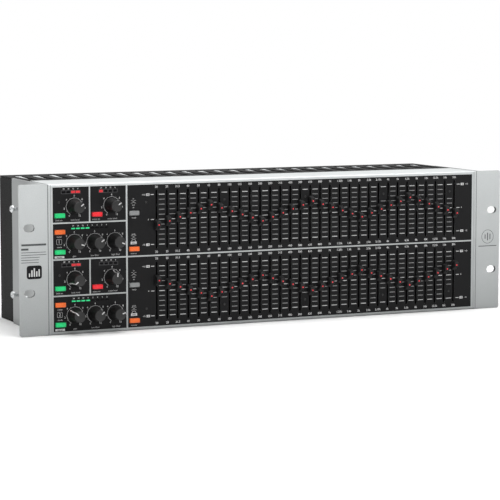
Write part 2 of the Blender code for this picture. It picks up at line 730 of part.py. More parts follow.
def rear_io_board(material):
    """The board behind the rear wall, with the sockets that reach out through it."""
    front = REAR_Y - IO_BOARD_SETBACK
    inside = front + BOARD_THICKNESS / 2
    low_z = CHANNELS[1][1] - XLR_RADIUS - IO_BOARD_MARGIN
    high_z = CHANNELS[0][1] + XLR_RADIUS + IO_BOARD_MARGIN
    mesh = bmesh.new()
    left = -CASE_HALF + IO_BOARD_INSET
    high = (left + IO_BOARD_WIDTH, front + BOARD_THICKNESS, high_z)
    add_box(mesh, (left, front, low_z), high)
    board = finish_object("rear_io_board", mesh, material)

    sockets = bmesh.new()
    bores = bmesh.new()
    pins = bmesh.new()
    xlr_face = REAR_Y + XLR_STANDOUT
    cup_floor = xlr_face - XLR_CUP_DEPTH
    jack_face = REAR_Y + JACK_STANDOUT
    for channel, z in CHANNELS:
        for x in (OUTPUT_XLR_X, INPUT_XLR_X):
            add_rod(sockets, (x, inside, z), BACKWARD, XLR_RADIUS, xlr_face - inside)
        add_rod(bores, (OUTPUT_XLR_X, cup_floor, z), BACKWARD, XLR_CUP_RADIUS, CASE_DEPTH)
        for i in range(3):
            angle = math.radians(90 + 120 * i)
            across = XLR_PIN_CIRCLE * math.cos(angle)
            rise = XLR_PIN_CIRCLE * math.sin(angle)
            start = (OUTPUT_XLR_X + across, cup_floor - XLR_PIN_RADIUS, z + rise)
            add_rod(pins, start, BACKWARD, XLR_PIN_RADIUS, XLR_PIN_LENGTH + XLR_PIN_RADIUS, 8)
            start = (INPUT_XLR_X + across, cup_floor, z - rise)
            add_rod(bores, start, BACKWARD, XLR_PIN_RADIUS + GAP, CASE_DEPTH, 8)
        for x in JACK_XS:
            add_rod(sockets, (x, inside, z), BACKWARD, JACK_RADIUS, jack_face - inside, 12)
            start = (x, jack_face - JACK_BORE_DEPTH, z)
            add_rod(bores, start, BACKWARD, JACK_BORE_RADIUS, CASE_DEPTH, 12)
    combine(board, sockets, "UNION")
    combine(board, bores, "DIFFERENCE")
    combine(board, pins, "UNION")


def mains_inlet(material):
    """The inlet and the rocker's well in one moulding, flanged on the rear wall."""
    flange_front = REAR_Y + GAP
    face = flange_front + MODULE_FLANGE_THICKNESS
    half = MODULE_FLANGE_WIDTH / 2
    mesh = bmesh.new()
    low = (INLET_X - half, flange_front, MODULE_FLANGE_BOTTOM)
    add_box(mesh, low, (INLET_X + half, face, MODULE_FLANGE_TOP))
    module = finish_object("mains_inlet", mesh, material)

    body = bmesh.new()
    inset = MODULE_BODY_INSET
    low = (INLET_X - half + inset, REAR_Y - MODULE_BODY_DEPTH, MODULE_FLANGE_BOTTOM + inset)
    middle = flange_front + MODULE_FLANGE_THICKNESS / 2
    add_box(body, low, (INLET_X + half - inset, middle, MODULE_FLANGE_TOP - inset))
    combine(module, body, "UNION")

    wells = bmesh.new()
    outside = face + MODULE_FLANGE_THICKNESS
    low = (INLET_X - INLET_WIDTH / 2, face - INLET_DEPTH, INLET_Z - INLET_HEIGHT / 2)
    add_box(wells, low, (INLET_X + INLET_WIDTH / 2, outside, INLET_Z + INLET_HEIGHT / 2))
    half_width = ROCKER_WIDTH / 2 + RUNNING_GAP
    half_height = ROCKER_HALF_HEIGHT + ROCKER_END_GAP
    low = (INLET_X - half_width, face - ROCKER_WELL_DEPTH, ROCKER_Z - half_height)
    add_box(wells, low, (INLET_X + half_width, outside, ROCKER_Z + half_height))
    combine(module, wells, "DIFFERENCE")

    blades = bmesh.new()
    root = face - INLET_DEPTH - BLADE_WIDTH
    for i in (-1, 0, 1):
        x = INLET_X + i * BLADE_SPACING
        z = INLET_Z + (BLADE_HEIGHT / 2 if i == 0 else -BLADE_HEIGHT / 2)
        low = (x - BLADE_WIDTH / 2, root, z - BLADE_HEIGHT / 2)
        add_box(blades, low, (x + BLADE_WIDTH / 2, root + BLADE_LENGTH, z + BLADE_HEIGHT / 2))
    combine(module, blades, "UNION")


def power_rocker(material):
    """A rocker that tips about a pin along X. At rest its upper end is out."""
    reach = math.hypot(ROCKER_HALF_HEIGHT, ROCKER_END)
    lean = math.atan2(ROCKER_END, ROCKER_HALF_HEIGHT) + ROCKER_TILT
    pivot_y = REAR_Y + REAR_STANDOUT - reach * math.sin(lean)
    upper = [(ROCKER_DIP, 0), (ROCKER_END, ROCKER_HALF_HEIGHT), (0, ROCKER_HALF_HEIGHT)]
    keel = [(-ROCKER_KEEL, ROCKER_HALF_HEIGHT / 3)]
    outline = upper + keel + [(y, -z) for y, z in reversed(upper[1:] + keel)]
    mesh = bmesh.new()
    left = -ROCKER_WIDTH / 2
    add_extrusion(mesh, [(left, y, z) for y, z in outline], (ROCKER_WIDTH, 0, 0))
    rocker = finish_object("power_rocker", mesh, material, (INLET_X, pivot_y, ROCKER_Z))
    rocker.rotation_euler = (-ROCKER_TILT, 0, 0)


def fuse_holder(material):
    """A round fuse carrier with a wider cap outside the rear wall."""
    cap_front = GAP
    profile = [
        (0, -FUSE_REACH),
        (FUSE_RADIUS, -FUSE_REACH),
        (FUSE_RADIUS, cap_front),
        (FUSE_CAP_RADIUS, cap_front),
        (FUSE_CAP_RADIUS, FUSE_CAP_STANDOUT),
        (0, FUSE_CAP_STANDOUT),
    ]
    mesh = bmesh.new()
    add_turned(mesh, profile, 16)
    finish_object("fuse_holder", mesh, material, (FUSE_X, REAR_Y, FUSE_Z), smooth=True)


def make_case():
    silver = painted_silver()
    steel = black_steel()
    front_panel(silver)
    rack_bracket(-1, "left_rack_bracket", silver)
    rack_bracket(1, "right_rack_bracket", silver)
    chassis_tray(steel)
    top_cover(steel)


def make_faders():
    track = fader_track()
    cap = black_plastic()
    board = circuit_board()
    for channel, middle in CHANNELS:
        fader_bank(channel, middle, track)
        fader_board(channel, middle, board)
        for number, bands in enumerate(octave_groups(), 1):
            fader_group(f"{channel}_fader_group_{number:02d}", channel, middle, bands, cap)


def make_controls():
    plastic = knob_plastic()
    colours = {
        "limiter_button": button_plastic("green_button", (0.01, 0.70, 0.20)),
        "noise_gate_button": button_plastic("red_button", (0.94, 0.03, 0.05)),
        "meter_button": button_plastic("orange_button", (1.0, 0.19, 0.04)),
        "range_button": button_plastic("grey_button", (0.27, 0.27, 0.27)),
    }
    colours["bypass_button"] = colours["limiter_button"]
    colours["contour_button"] = colours["meter_button"]
    for channel, middle in CHANNELS:
        for name, (x, rise) in KNOB_PLACES.items():
            knob(f"{channel}_{name}", x, middle + rise, plastic)
        for name, (x, rise) in BUTTON_PLACES.items():
            push_button(f"{channel}_{name}", x, middle + rise, colours[name])


def make_inside():
    board = circuit_board()
    plastic = black_plastic()
    control_board(board)
    main_board(board)
    mains_transformer(transformer_steel())
    rear_io_board(board)
    mains_inlet(plastic)
    power_rocker(plastic)
    fuse_holder(plastic)


for old in list(bpy.data.objects):
    bpy.data.objects.remove(old)
make_case()
make_faders()
make_controls()
make_inside()
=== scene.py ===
import json
import math

import bmesh
import bpy
import numpy as np
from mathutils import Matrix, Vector

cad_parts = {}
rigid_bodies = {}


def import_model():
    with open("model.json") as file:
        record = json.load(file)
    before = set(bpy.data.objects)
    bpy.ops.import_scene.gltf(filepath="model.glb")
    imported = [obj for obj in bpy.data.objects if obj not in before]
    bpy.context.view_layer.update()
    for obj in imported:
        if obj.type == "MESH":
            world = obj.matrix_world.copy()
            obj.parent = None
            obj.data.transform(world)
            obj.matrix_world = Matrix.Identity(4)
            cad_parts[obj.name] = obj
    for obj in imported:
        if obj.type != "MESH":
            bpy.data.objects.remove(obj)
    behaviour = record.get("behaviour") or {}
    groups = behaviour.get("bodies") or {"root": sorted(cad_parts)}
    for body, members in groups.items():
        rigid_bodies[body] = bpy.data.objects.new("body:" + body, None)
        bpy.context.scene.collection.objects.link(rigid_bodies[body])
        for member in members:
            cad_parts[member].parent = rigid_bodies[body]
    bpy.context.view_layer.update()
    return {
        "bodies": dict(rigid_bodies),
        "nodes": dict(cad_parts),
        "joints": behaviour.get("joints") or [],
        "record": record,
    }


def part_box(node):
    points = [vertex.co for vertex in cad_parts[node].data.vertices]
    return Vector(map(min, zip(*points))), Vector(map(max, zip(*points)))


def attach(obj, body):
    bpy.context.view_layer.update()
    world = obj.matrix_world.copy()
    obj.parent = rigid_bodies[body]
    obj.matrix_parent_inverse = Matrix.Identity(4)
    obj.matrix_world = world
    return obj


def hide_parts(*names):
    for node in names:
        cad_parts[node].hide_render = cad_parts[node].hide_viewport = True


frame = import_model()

nodes = frame["nodes"]
scene = bpy.context.scene
mm = 0.001
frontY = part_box("front_panel")[0].y
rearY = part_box("chassis_tray")[1].y
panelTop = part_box("front_panel")[1].z
channelPitch = 64.1 * mm
channels = {"upper": (panelTop + channelPitch) / 2, "lower": (panelTop - channelPitch) / 2}  # fader middles


def addMesh(name, shape, material, body, smooth=None, glow=None):
    # shape is (points in metres, rows of point numbers); glow is a number for each point
    points, faces = shape
    data = bpy.data.meshes.new(name)
    data.from_pydata(points.tolist(), [], faces)
    if glow is not None:
        layer = data.attributes.new("glow", "FLOAT", "POINT")
        layer.data.foreach_set("value", np.asarray(glow, np.float32))
    if smooth is not None:
        data.shade_smooth()
        data.set_sharp_from_angle(angle=math.radians(smooth))
    data.materials.append(material)
    piece = bpy.data.objects.new(name, data)
    scene.collection.objects.link(piece)
    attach(piece, body)
    return piece


def addPrint(name, shapes, ink):
    # printed marks on the panel, in the given ink
    return addMesh(name, merge(shapes), ink, "root")


def gridFaces(rows, cols, closed=False):
    # quads between a grid's points; columns wrap round, and rows too when closed
    r, c = np.meshgrid(np.arange(rows if closed else rows - 1), np.arange(cols), indexing="ij")
    down, across = (r + 1) % rows, (c + 1) % cols
    quads = [r * cols + c, r * cols + across, down * cols + across, down * cols + c]
    return np.stack(quads, -1).reshape(-1, 4)


def closedRings(rings):
    # a solid from rings (rows, cols, 3), front to rear, with a fan over each end
    rows, cols = rings.shape[:2]
    points = np.vstack([rings.reshape(-1, 3), rings[0].mean(0), rings[-1].mean(0)])
    c = np.arange(cols)
    n = (c + 1) % cols
    last = (rows - 1) * cols
    start = np.stack([np.full(cols, rows * cols), n, c], -1)
    end = np.stack([np.full(cols, rows * cols + 1), last + c, last + n], -1)
    return points, gridFaces(rows, cols).tolist() + start.tolist() + end.tolist()


def turned(profile, segments, at=(0, 0, 0), wave=None):
    # (radius, y) points carried round the Y axis; wave(angle, y) scales the radius
    p = np.asarray(profile, float)
    a = np.linspace(0, 2 * np.pi, segments, endpoint=False)
    radius = np.repeat(p[:, :1], segments, 1)
    y = np.repeat(p[:, 1:], segments, 1)
    if wave is not None:
        radius = radius * wave(a[None], y)
    rings = np.stack([radius * np.sin(a), y, radius * np.cos(a)], -1)
    return closedRings(rings + np.asarray(at))


def softCorners(points, radius, steps=4):
    # a polyline whose inner corners become short quadratic curves
    p = np.asarray(points, float)
    t = np.linspace(0, 1, steps + 1)[:, None]
    out = [p[:1]]
    for before, corner, after in zip(p, p[1:], p[2:]):
        a, b = before - corner, after - corner
        la, lb = np.linalg.norm(a), np.linalg.norm(b)
        cut = min(radius, la / 2.2, lb / 2.2)
        start, end = corner + a / la * cut, corner + b / lb * cut
        out.append((1 - t) ** 2 * start + 2 * t * (1 - t) * corner + t ** 2 * end)
    out.append(p[-1:])
    return np.vstack(out)


def boxes(middles, sizes):
    # eight corners about each middle, for any number of boxes at once
    m = np.asarray(middles, float).reshape(-1, 3)
    s = np.broadcast_to(np.asarray(sizes, float), m.shape) / 2
    signs = np.array([(x, y, z) for x in (-1, 1) for y in (-1, 1) for z in (-1, 1)], float)
    sides = [(0, 1, 3, 2), (4, 6, 7, 5), (0, 4, 5, 1), (2, 3, 7, 6), (0, 2, 6, 4), (1, 5, 7, 3)]
    faces = (np.arange(len(m))[:, None, None] * 8 + np.array(sides)).reshape(-1, 4)
    return (m[:, None] + signs * s[:, None]).reshape(-1, 3), faces.tolist()


def merge(shapes):
    # several shapes as one
    points, faces, count = [], [], 0
    for somePoints, rows in shapes:
        points.append(somePoints)
        faces += [[i + count for i in row] for row in rows]
        count += len(somePoints)
    return np.vstack(points), faces


def outlinePoints(halfX, halfZ, power, count):
    # |x|^power + |z|^power = 1, stretched to the half sizes
    t = np.linspace(0, 2 * np.pi, count, endpoint=False)
    c, s = np.sin(t), np.cos(t)
    k = (np.abs(c) ** power + np.abs(s) ** power) ** (-1 / power)
    return np.stack([halfX * c * k, halfZ * s * k], -1)


def pillow(x, z, halfX, halfZ, yFront, yBack, edge, power=8, count=32):
    # a rounded-rectangle block whose front edge is a quarter round
    t = np.linspace(0, 1, 5)[:, None] * np.pi / 2
    inset = edge * (1 - np.sin(t))
    unit = outlinePoints(1, 1, power, count)
    ringX = x + unit[:, 0] * (halfX - inset)
    ringZ = z + unit[:, 1] * (halfZ - inset)
    ringY = np.repeat(yFront + edge * (1 - np.cos(t)), count, 1)
    front = np.stack([ringX, ringY, ringZ], -1)
    rear = front[-1:].copy()
    rear[..., 1] = yBack
    return closedRings(np.concatenate([front, rear]))


def collar(x, z, inner, outer, yFront, yBack, edge):
    # a plate between two outlines of equal count: a washer, a nut, a bezel or a flange
    cut = outer * (1 - edge / np.abs(outer).max())
    rings = [(inner, yBack), (inner, yFront), (cut, yFront), (outer, yFront + edge), (outer, yBack)]
    points = [np.column_stack([o[:, 0] + x, np.full(len(o), y), o[:, 1] + z]) for o, y in rings]
    return np.vstack(points), gridFaces(len(rings), len(inner), closed=True).tolist()


def strip(path, width, thickness, angle, at):
    # a flat bar laid along (radius, y) points in a plane turned about Y
    p = np.asarray(path, float)
    along = np.gradient(p, axis=0)
    along /= np.linalg.norm(along, axis=1)[:, None]
    off = np.stack([-along[:, 1], along[:, 0]], -1) * thickness / 2
    side = np.array([-1, 1, 1, -1]) * width / 2
    lift = np.array([-1, -1, 1, 1])
    r = p[:, :1] + off[:, :1] * lift
    y = p[:, 1:] + off[:, 1:] * lift
    s = np.broadcast_to(side, r.shape)
    x = r * math.sin(angle) + s * math.cos(angle)
    z = r * math.cos(angle) - s * math.sin(angle)
    return closedRings(np.stack([x, y, z], -1) + np.asarray(at))


def ribbon(inner, outer, y, thickness):
    # a flat bar between two edges on the panel, each a row of (x, z) points
    corners = [(inner, 1), (outer, 1), (outer, -1), (inner, -1)]
    rings = [
        np.stack([edge[:, 0], np.full(len(edge), y + sign * thickness / 2), edge[:, 1]], -1)
        for edge, sign in corners
    ]
    return closedRings(np.stack(rings, 1))


def band(x, z, radius, width, start, end, y, thickness, steps=60):
    # a flat arc about a point on the panel, its angles clockwise from the top
    a = np.radians(np.linspace(start, end, steps))
    turn = np.stack([np.sin(a), np.cos(a)], -1)
    inner, outer = [turn * r + (x, z) for r in (radius - width / 2, radius + width / 2)]
    return ribbon(inner, outer, y, thickness)


def line(path, width, y, thickness):
    # a flat bar along points on the panel
    along = np.gradient(path, axis=0)
    along /= np.linalg.norm(along, axis=1)[:, None]
    side = np.stack([-along[:, 1], along[:, 0]], -1) * width / 2
    return ribbon(path - side, path + side, y, thickness)


def holedPlate(outer, holes, yFront, yBack):
    # a rectangle less rectangles: every edge is a grid line, and each cell is kept or left out;
    # a rectangle is (left, right, low, high) in mm
    cuts = [tuple(v * mm for v in edges) for edges in [outer] + holes]
    xs = np.unique(np.round([v for c in cuts for v in (c[0], c[1])], 7))
    zs = np.unique(np.round([v for c in cuts for v in (c[2], c[3])], 7))
    xm, zm = (xs[:-1] + xs[1:]) / 2, (zs[:-1] + zs[1:]) / 2
    keep = np.ones((len(xm), len(zm)), bool)
    for x0, x1, z0, z1 in cuts[1:]:
        keep &= ~np.outer((xm > x0) & (xm < x1), (zm > z0) & (zm < z1))
    nx, nz = len(xs), len(zs)
    gx, gz = np.meshgrid(xs, zs, indexing="ij")
    front = np.stack([gx, np.full_like(gx, yFront), gz], -1).reshape(-1, 3)
    back = np.stack([gx, np.full_like(gx, yBack), gz], -1).reshape(-1, 3)
    step = nx * nz
    i, j = np.nonzero(keep)
    a, b, c, d = i * nz + j, (i + 1) * nz + j, (i + 1) * nz + j + 1, i * nz + j + 1
    faces = [np.stack([a, b, c, d], -1), np.stack([d, c, b, a], -1) + step]
    pad = np.pad(keep, 1)
    walls = [((-1, 0), a, d), ((1, 0), c, b), ((0, -1), b, a), ((0, 1), d, c)]
    for (di, dj), p, q in walls:
        edge = ~pad[i + 1 + di, j + 1 + dj]
        faces.append(np.stack([p, q, q + step, p + step], -1)[edge])
    used, faces = np.unique(np.vstack(faces), return_inverse=True)
    return np.vstack([front, back])[used], faces.reshape(-1, 4).tolist()


glyphCache = {}


def textShape(words, height, x, z, y):
    # letters as closed solids, from Blender's own font, one shape for each word
    if words not in glyphCache:
        curve = bpy.data.curves.new("words", "FONT")
        curve.body = words
        curve.align_x = "CENTER"
        curve.align_y = "CENTER"
        curve.resolution_u = 2
        curve.extrude = 0.5
        curve.offset = 0.018
        holder = bpy.data.objects.new("words", curve)
        scene.collection.objects.link(holder)
        solid = bmesh.new()
        evaluated = holder.evaluated_get(bpy.context.evaluated_depsgraph_get())
        solid.from_mesh(evaluated.to_mesh())
        bmesh.ops.remove_doubles(solid, verts=solid.verts, dist=0.0005)
        solid.verts.ensure_lookup_table()
        points = np.array([v.co for v in solid.verts])
        glyphCache[words] = points, [[v.index for v in f.verts] for f in solid.faces]
        solid.free()
        bpy.data.objects.remove(holder)
    points, faces = glyphCache[words]
    scale = height / 0.72  # the font's capitals are 0.72 high at size 1
    out = np.empty_like(points)
    out[:, 0] = x + points[:, 0] * scale
    out[:, 1] = y - points[:, 2] * legend["thick"]
    out[:, 2] = z + points[:, 1] * scale
    return out, faces


def fromHex(text):
    # an sRGB hex colour as linear light
    value = np.array([int(text[i:i + 2], 16) / 255 for i in (1, 3, 5)])
    linear = np.where(value <= 0.04045, value / 12.92, ((value + 0.055) / 1.055) ** 2.4)
    return (*linear.tolist(), 1.0)


def startMaterial(name):
    material = bpy.data.materials.new(name)
    material.use_nodes = True
    material.node_tree.nodes.clear()
    return material, material.node_tree


def addNode(tree, kind, values=None, links=None, **settings):
    node = tree.nodes.new("ShaderNode" + kind)
    for key, value in settings.items():
        setattr(node, key, value)
    for key, value in (values or {}).items():
        node.inputs[key].default_value = value
    for key, (source, output) in (links or {}).items():
        tree.links.new(source.outputs[output], node.inputs[key])
    return node


def painted(name, look):
    # a coat over a smooth base: cloudy colour over tens of mm, fine grain in gloss and relief
    material, tree = startMaterial(name)
    place = addNode(tree, "TexCoord")
    cloud, grain = [
        addNode(tree, "TexNoise", {"Scale": 1 / (size * mm), "Detail": detail}, {"Vector": (place, "Object")})
        for size, detail in ((look["cloudMm"], 3.0), (look["grainMm"], 2.0))
    ]
    ranges = [
        (cloud, 0.35, 0.65, 0.0, 1.0), (grain, 0.3, 0.7, 0.0, look["fleck"]),
        (grain, 0.3, 0.7, *look["roughness"]),
    ]
    spread, fleck, gloss = [
        addNode(
            tree, "MapRange", {"From Min": fromLow, "From Max": fromHigh, "To Min": low, "To Max": high},
            {"Value": (source, "Fac")},
        )
        for source, fromLow, fromHigh, low, high in ranges
    ]
    base, shade, speck = [fromHex(look[key]) for key in ("base", "shade", "speck")]
    clouded = addNode(tree, "Mix", {6: base, 7: shade}, {0: (spread, "Result")}, data_type="RGBA")
    colour = addNode(tree, "Mix", {7: speck}, {0: (fleck, "Result"), 6: (clouded, 2)}, data_type="RGBA")
    depth = look["grainMm"] * mm * 0.2
    bump = addNode(tree, "Bump", {"Strength": look["relief"], "Distance": depth}, {"Height": (grain, "Fac")})
    shader = addNode(
        tree, "BsdfPrincipled",
        {"Metallic": look.get("metallic", 0.0), "Specular IOR Level": look.get("specular", 0.5)},
        {"Base Color": (colour, 2), "Roughness": (gloss, "Result"), "Normal": (bump, "Normal")},
    )
    addNode(tree, "OutputMaterial", links={"Surface": (shader, "BSDF")})
    return material, tree, shader, (colour, 2)


def within(tree, **ranges):
    # 1 inside the ranges of |x|, y and z in metres, and 0 outside; None leaves an end open
    place = addNode(tree, "TexCoord")
    axes = addNode(tree, "SeparateXYZ", links={"Vector": (place, "Object")})
    across = addNode(tree, "Math", links={0: (axes, "X")}, operation="ABSOLUTE")
    mask = None
    for axis, ends in ranges.items():
        source = (across, 0) if axis == "X" else (axes, axis)
        for edge, operation in zip(ends, ("GREATER_THAN", "LESS_THAN")):
            if edge is None:
                continue
            test = addNode(tree, "Math", {1: edge}, {0: source}, operation=operation)
            if mask is not None:
                test = addNode(tree, "Math", links={0: (mask, 0), 1: (test, 0)}, operation="MULTIPLY")
            mask = test
    return mask


def recolour(tree, shader, colour, mask, tint):
    # the base colour becomes the tint where the mask is 1
    mixed = addNode(tree, "Mix", {7: fromHex(tint)}, {0: (mask, 0), 6: colour}, data_type="RGBA")
    tree.links.new(mixed.outputs[2], shader.inputs["Base Color"])


def deepen(tree, shader, colour, foot, plate=None):
    # painted shade: the coat is darkened towards the foot of the panel, where less light falls
    place = addNode(tree, "TexCoord")
    axes = addNode(tree, "SeparateXYZ", links={"Vector": (place, "Object")})
    source = addNode(tree, "MapRange", {"From Max": panelTop, "To Min": foot}, {"Value": (axes, "Z")})
    if plate is not None:
        # behind the ear, painted shade instead darkens the side plate towards the rear
        behind = addNode(tree, "Math", {1: plate["behind"]}, {0: (axes, "Y")}, operation="GREATER_THAN")
        ends = dict(zip(("From Min", "From Max", "To Min", "To Max"), plate["ease"]))
        eased = addNode(tree, "MapRange", ends, {"Value": (axes, "Y")})
        links = {0: (behind, 0), 2: (source, 0), 3: (eased, 0)}
        source = addNode(tree, "Mix", links=links, data_type="FLOAT")
    tone = addNode(
        tree, "Mix", {0: 1.0}, {6: colour, 7: (source, 0)}, data_type="RGBA", blend_type="MULTIPLY",
    )
    tree.links.new(tone.outputs[2], shader.inputs["Base Color"])
    return tone, 2


silverCoat = {
    "base": "#C7CBCB", "shade": "#BFC3C3", "speck": "#DCDEDE", "fleck": 0.35, "metallic": 0.45,
    # foot is how much colour the painted shade leaves at the foot of the panel
    "roughness": (0.34, 0.44), "relief": 0.10, "cloudMm": 60, "grainMm": 0.7, "foot": 0.56,
    # plate sets the painted shade along the bracket's side plate behind the ear
    "plate": {"behind": frontY + 3.1 * mm, "ease": (frontY + 12 * mm, frontY + 45 * mm, 0.95, 0.5)},
    # slot is where painted shade darkens the walls of the ear slots
    "slot": {"X": (0.226, 0.2395), "Y": (frontY + 0.15 * mm, frontY + 2.9 * mm), "Z": (0.02, 0.11)},
    # the rear of the panel and its slot walls, painted near black as shade
    "paintedShadeRear": {"Y": (frontY + 0.1 * mm, None), "Z": (2 * mm, panelTop - 2 * mm)},
}


def satinSilver(name, ear):
    # silver lacquer over folded sheet: soft, slightly green-grey sheen with a fine metallic fleck
    material, tree, shader, colour = painted(name, silverCoat)
    if ear:
        # painted shade: the punched walls of the ear slots are darker
        colour = deepen(tree, shader, colour, silverCoat["foot"], silverCoat["plate"])
        recolour(tree, shader, colour, within(tree, **silverCoat["slot"]), "#4A4D4D")
        return material
    # painted shade: the rear of the panel and the walls of its slots are near black and not metallic
    colour = deepen(tree, shader, colour, silverCoat["foot"])
    rearShade = within(tree, **silverCoat["paintedShadeRear"])
    recolour(tree, shader, colour, rearShade, "#050505")
    ends = {"To Min": silverCoat["metallic"], "To Max": 0.0}
    metal = addNode(tree, "MapRange", ends, {"Value": (rearShade, 0)})
    tree.links.new(metal.outputs[0], shader.inputs["Metallic"])
    return material


def blackPowderCoat(name, bare=None):
    # baked powder on steel: near black, with a fine orange-peel skin that breaks up the gloss
    material, tree, shader, colour = painted(name, {
        "base": "#111111", "shade": "#161616", "speck": "#232323", "fleck": 0.35, "specular": 0.07,
        "roughness": (0.5, 0.68), "relief": 0.45, "cloudMm": 45, "grainMm": 0.6,
    })
    if bare is not None:
        # only the outside is coated: the sheet is bare zinc within
        recolour(tree, shader, colour, within(tree, **bare), "#D8DADB")
    return material


def printedBlack():
    # matt screen ink: a flat, slightly uneven black that shows the mesh of the screen, with painted shade
    # darker towards the foot
    material, tree, shader, colour = painted("screen_printed_black", {
        "base": "#141415", "shade": "#181819", "speck": "#232324", "fleck": 0.35, "specular": 0.14,
        "roughness": (0.46, 0.60), "relief": 0.12, "cloudMm": 18, "grainMm": 0.5,
    })
    # painted shade towards the foot of the panel
    deepen(tree, shader, colour, 0.62)
    return material


def printInk(name, base, shade):
    # opaque legend ink, thinner at its edges
    return painted(name, {
        "base": base, "shade": shade, "speck": shade, "fleck": 0.3,
        "roughness": (0.5, 0.65), "relief": 0.05, "cloudMm": 6, "grainMm": 0.3,
    })[0]


def mouldedBlack(name, base, shade, rough, relief=0.2, specular=0.5):
    # moulded ABS with a spark-eroded skin
    return painted(name, {
        "base": base, "shade": shade, "speck": "#333333", "fleck": 0.2, "specular": specular,
        "roughness": rough, "relief": relief, "cloudMm": 8, "grainMm": 0.25,
    })


def knobMaterial():
    # black thermoplastic, matt on the face, with painted shade darkening the fluted side
    material, tree, shader, colour = mouldedBlack(
        "matt_black_thermoplastic", "#202020", "#262626", (0.46, 0.6), specular=0.35,
    )
    place = addNode(tree, "TexCoord")
    axes = addNode(tree, "SeparateXYZ", links={"Vector": (place, "Object")})
    # painted shade: darker down the side, from the face back
    side = {"From Min": frontY - 13.6 * mm, "From Max": frontY - 11.5 * mm}
    down = addNode(tree, "MapRange", side, {"Value": (axes, "Y")})
    recolour(tree, shader, colour, down, "#090909")
    return material


def litPlastic(name, look):
    # clear-tinted button cap over a lamp: even colour, brighter in the middle, soft gloss
    material, tree = startMaterial(name)
    place = addNode(tree, "TexCoord")
    haze = addNode(tree, "TexNoise", {"Scale": 1 / (1.2 * mm), "Detail": 2.0}, {"Vector": (place, "Object")})
    glow = addNode(tree, "Attribute", attribute_name="glow")
    mixed = addNode(tree, "Math", links={0: (haze, "Fac"), 1: (glow, "Fac")}, operation="MULTIPLY")
    share = addNode(tree, "MapRange", {"From Min": 0.1, "From Max": 0.6}, {"Value": (mixed, 0)})
    colours = {6: fromHex(look["edge"]), 7: fromHex(look["middle"])}
    colour = addNode(tree, "Mix", colours, {0: (share, 0)}, data_type="RGBA")
    bump = addNode(tree, "Bump", {"Strength": 0.06, "Distance": 0.1 * mm}, {"Height": (haze, "Fac")})
    specular = look.get("specular", 0.45)
    shader = addNode(
        tree, "BsdfPrincipled",
        {"Roughness": 0.38, "Specular IOR Level": specular, "Emission Strength": look["light"]},
        {"Base Color": (colour, 2), "Emission Color": (colour, 2), "Normal": (bump, "Normal")},
    )
    addNode(tree, "OutputMaterial", links={"Surface": (shader, "BSDF")})
    return material


def boardMaterial(name, sockets=None):
    # green solder mask with copper tracks under it; sockets past a plane are black moulded plastic
    material, tree = startMaterial(name)
    place = addNode(tree, "TexCoord")
    colours = {"Color1": fromHex("#0E4A2A"), "Color2": fromHex("#125530"), "Mortar": fromHex("#2C7A48")}
    spacing = {"Scale": 1 / (9 * mm), "Mortar Size": 0.06}
    tracks = addNode(tree, "TexBrick", {**spacing, **colours}, {"Vector": (place, "Object")})
    grain = addNode(tree, "TexNoise", {"Scale": 1 / (0.8 * mm)}, {"Vector": (place, "Object")})
    bump = addNode(tree, "Bump", {"Strength": 0.15, "Distance": 0.1 * mm}, {"Height": (grain, "Fac")})
    gloss = addNode(tree, "MapRange", {"To Min": 0.3, "To Max": 0.5}, {"Value": (grain, "Fac")})
    links = {"Base Color": (tracks, "Color"), "Roughness": (gloss, 0), "Normal": (bump, "Normal")}
    shader = addNode(tree, "BsdfPrincipled", links=links)
    if sockets is not None:
        recolour(tree, shader, (tracks, "Color"), within(tree, Y=(sockets, None)), "#151515")
    addNode(tree, "OutputMaterial", links={"Surface": (shader, "BSDF")})
    return material


def transformerMaterial():
    # varnished steel laminations half a millimetre thick, with tape round the winding
    material, tree = startMaterial("varnished_laminations")
    low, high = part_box("mains_transformer")
    stackHalf = (high.y - low.y) / 2 - 6.9 * mm
    place = addNode(tree, "TexCoord")
    axes = addNode(tree, "SeparateXYZ", links={"Vector": (place, "Object")})
    plates = addNode(
        tree, "TexWave", {"Scale": 1 / (1.0 * mm) / 6.28, "Distortion": 0.4}, {"Vector": (place, "Object")},
        bands_direction="Y",
    )
    colours = {6: fromHex("#3B3833"), 7: fromHex("#6E6A62")}
    steel = addNode(tree, "Mix", colours, {0: (plates, "Fac")}, data_type="RGBA")
    off = addNode(tree, "Math", {1: (low.y + high.y) / 2}, {0: (axes, "Y")}, operation="SUBTRACT")
    away = addNode(tree, "Math", links={0: (off, 0)}, operation="ABSOLUTE")
    tape = addNode(tree, "Math", {1: stackHalf}, {0: (away, 0)}, operation="GREATER_THAN")
    bump = addNode(tree, "Bump", {"Strength": 0.3, "Distance": 0.1 * mm}, {"Height": (plates, "Fac")})
    values = {"Roughness": 0.42, "Metallic": 0.3}
    shader = addNode(tree, "BsdfPrincipled", values, {"Normal": (bump, "Normal")})
    recolour(tree, shader, (steel, 2), tape, "#B58A1E")
    addNode(tree, "OutputMaterial", links={"Surface": (shader, "BSDF")})
    return material


silver = satinSilver("satin_silver_lacquer", True)
panelSilver = satinSilver("satin_silver_lacquer_panel", False)
powder = blackPowderCoat("black_powder_coat")
trayInside = {"X": (None, 216.8 * mm), "Y": (None, rearY - 1.1 * mm), "Z": (1.1 * mm, None)}
trayPowder = blackPowderCoat("black_powder_coat_over_zinc", trayInside)
fieldInk = printedBlack()
whiteInk = printInk("white_legend_ink", "#D4D4D4", "#C0C0C0")
softInk = printInk("soft_grey_legend_ink", "#A6A6A6", "#949494")
darkInk = printInk("dark_grey_ear_ink", "#3C3F40", "#4A4E4F")
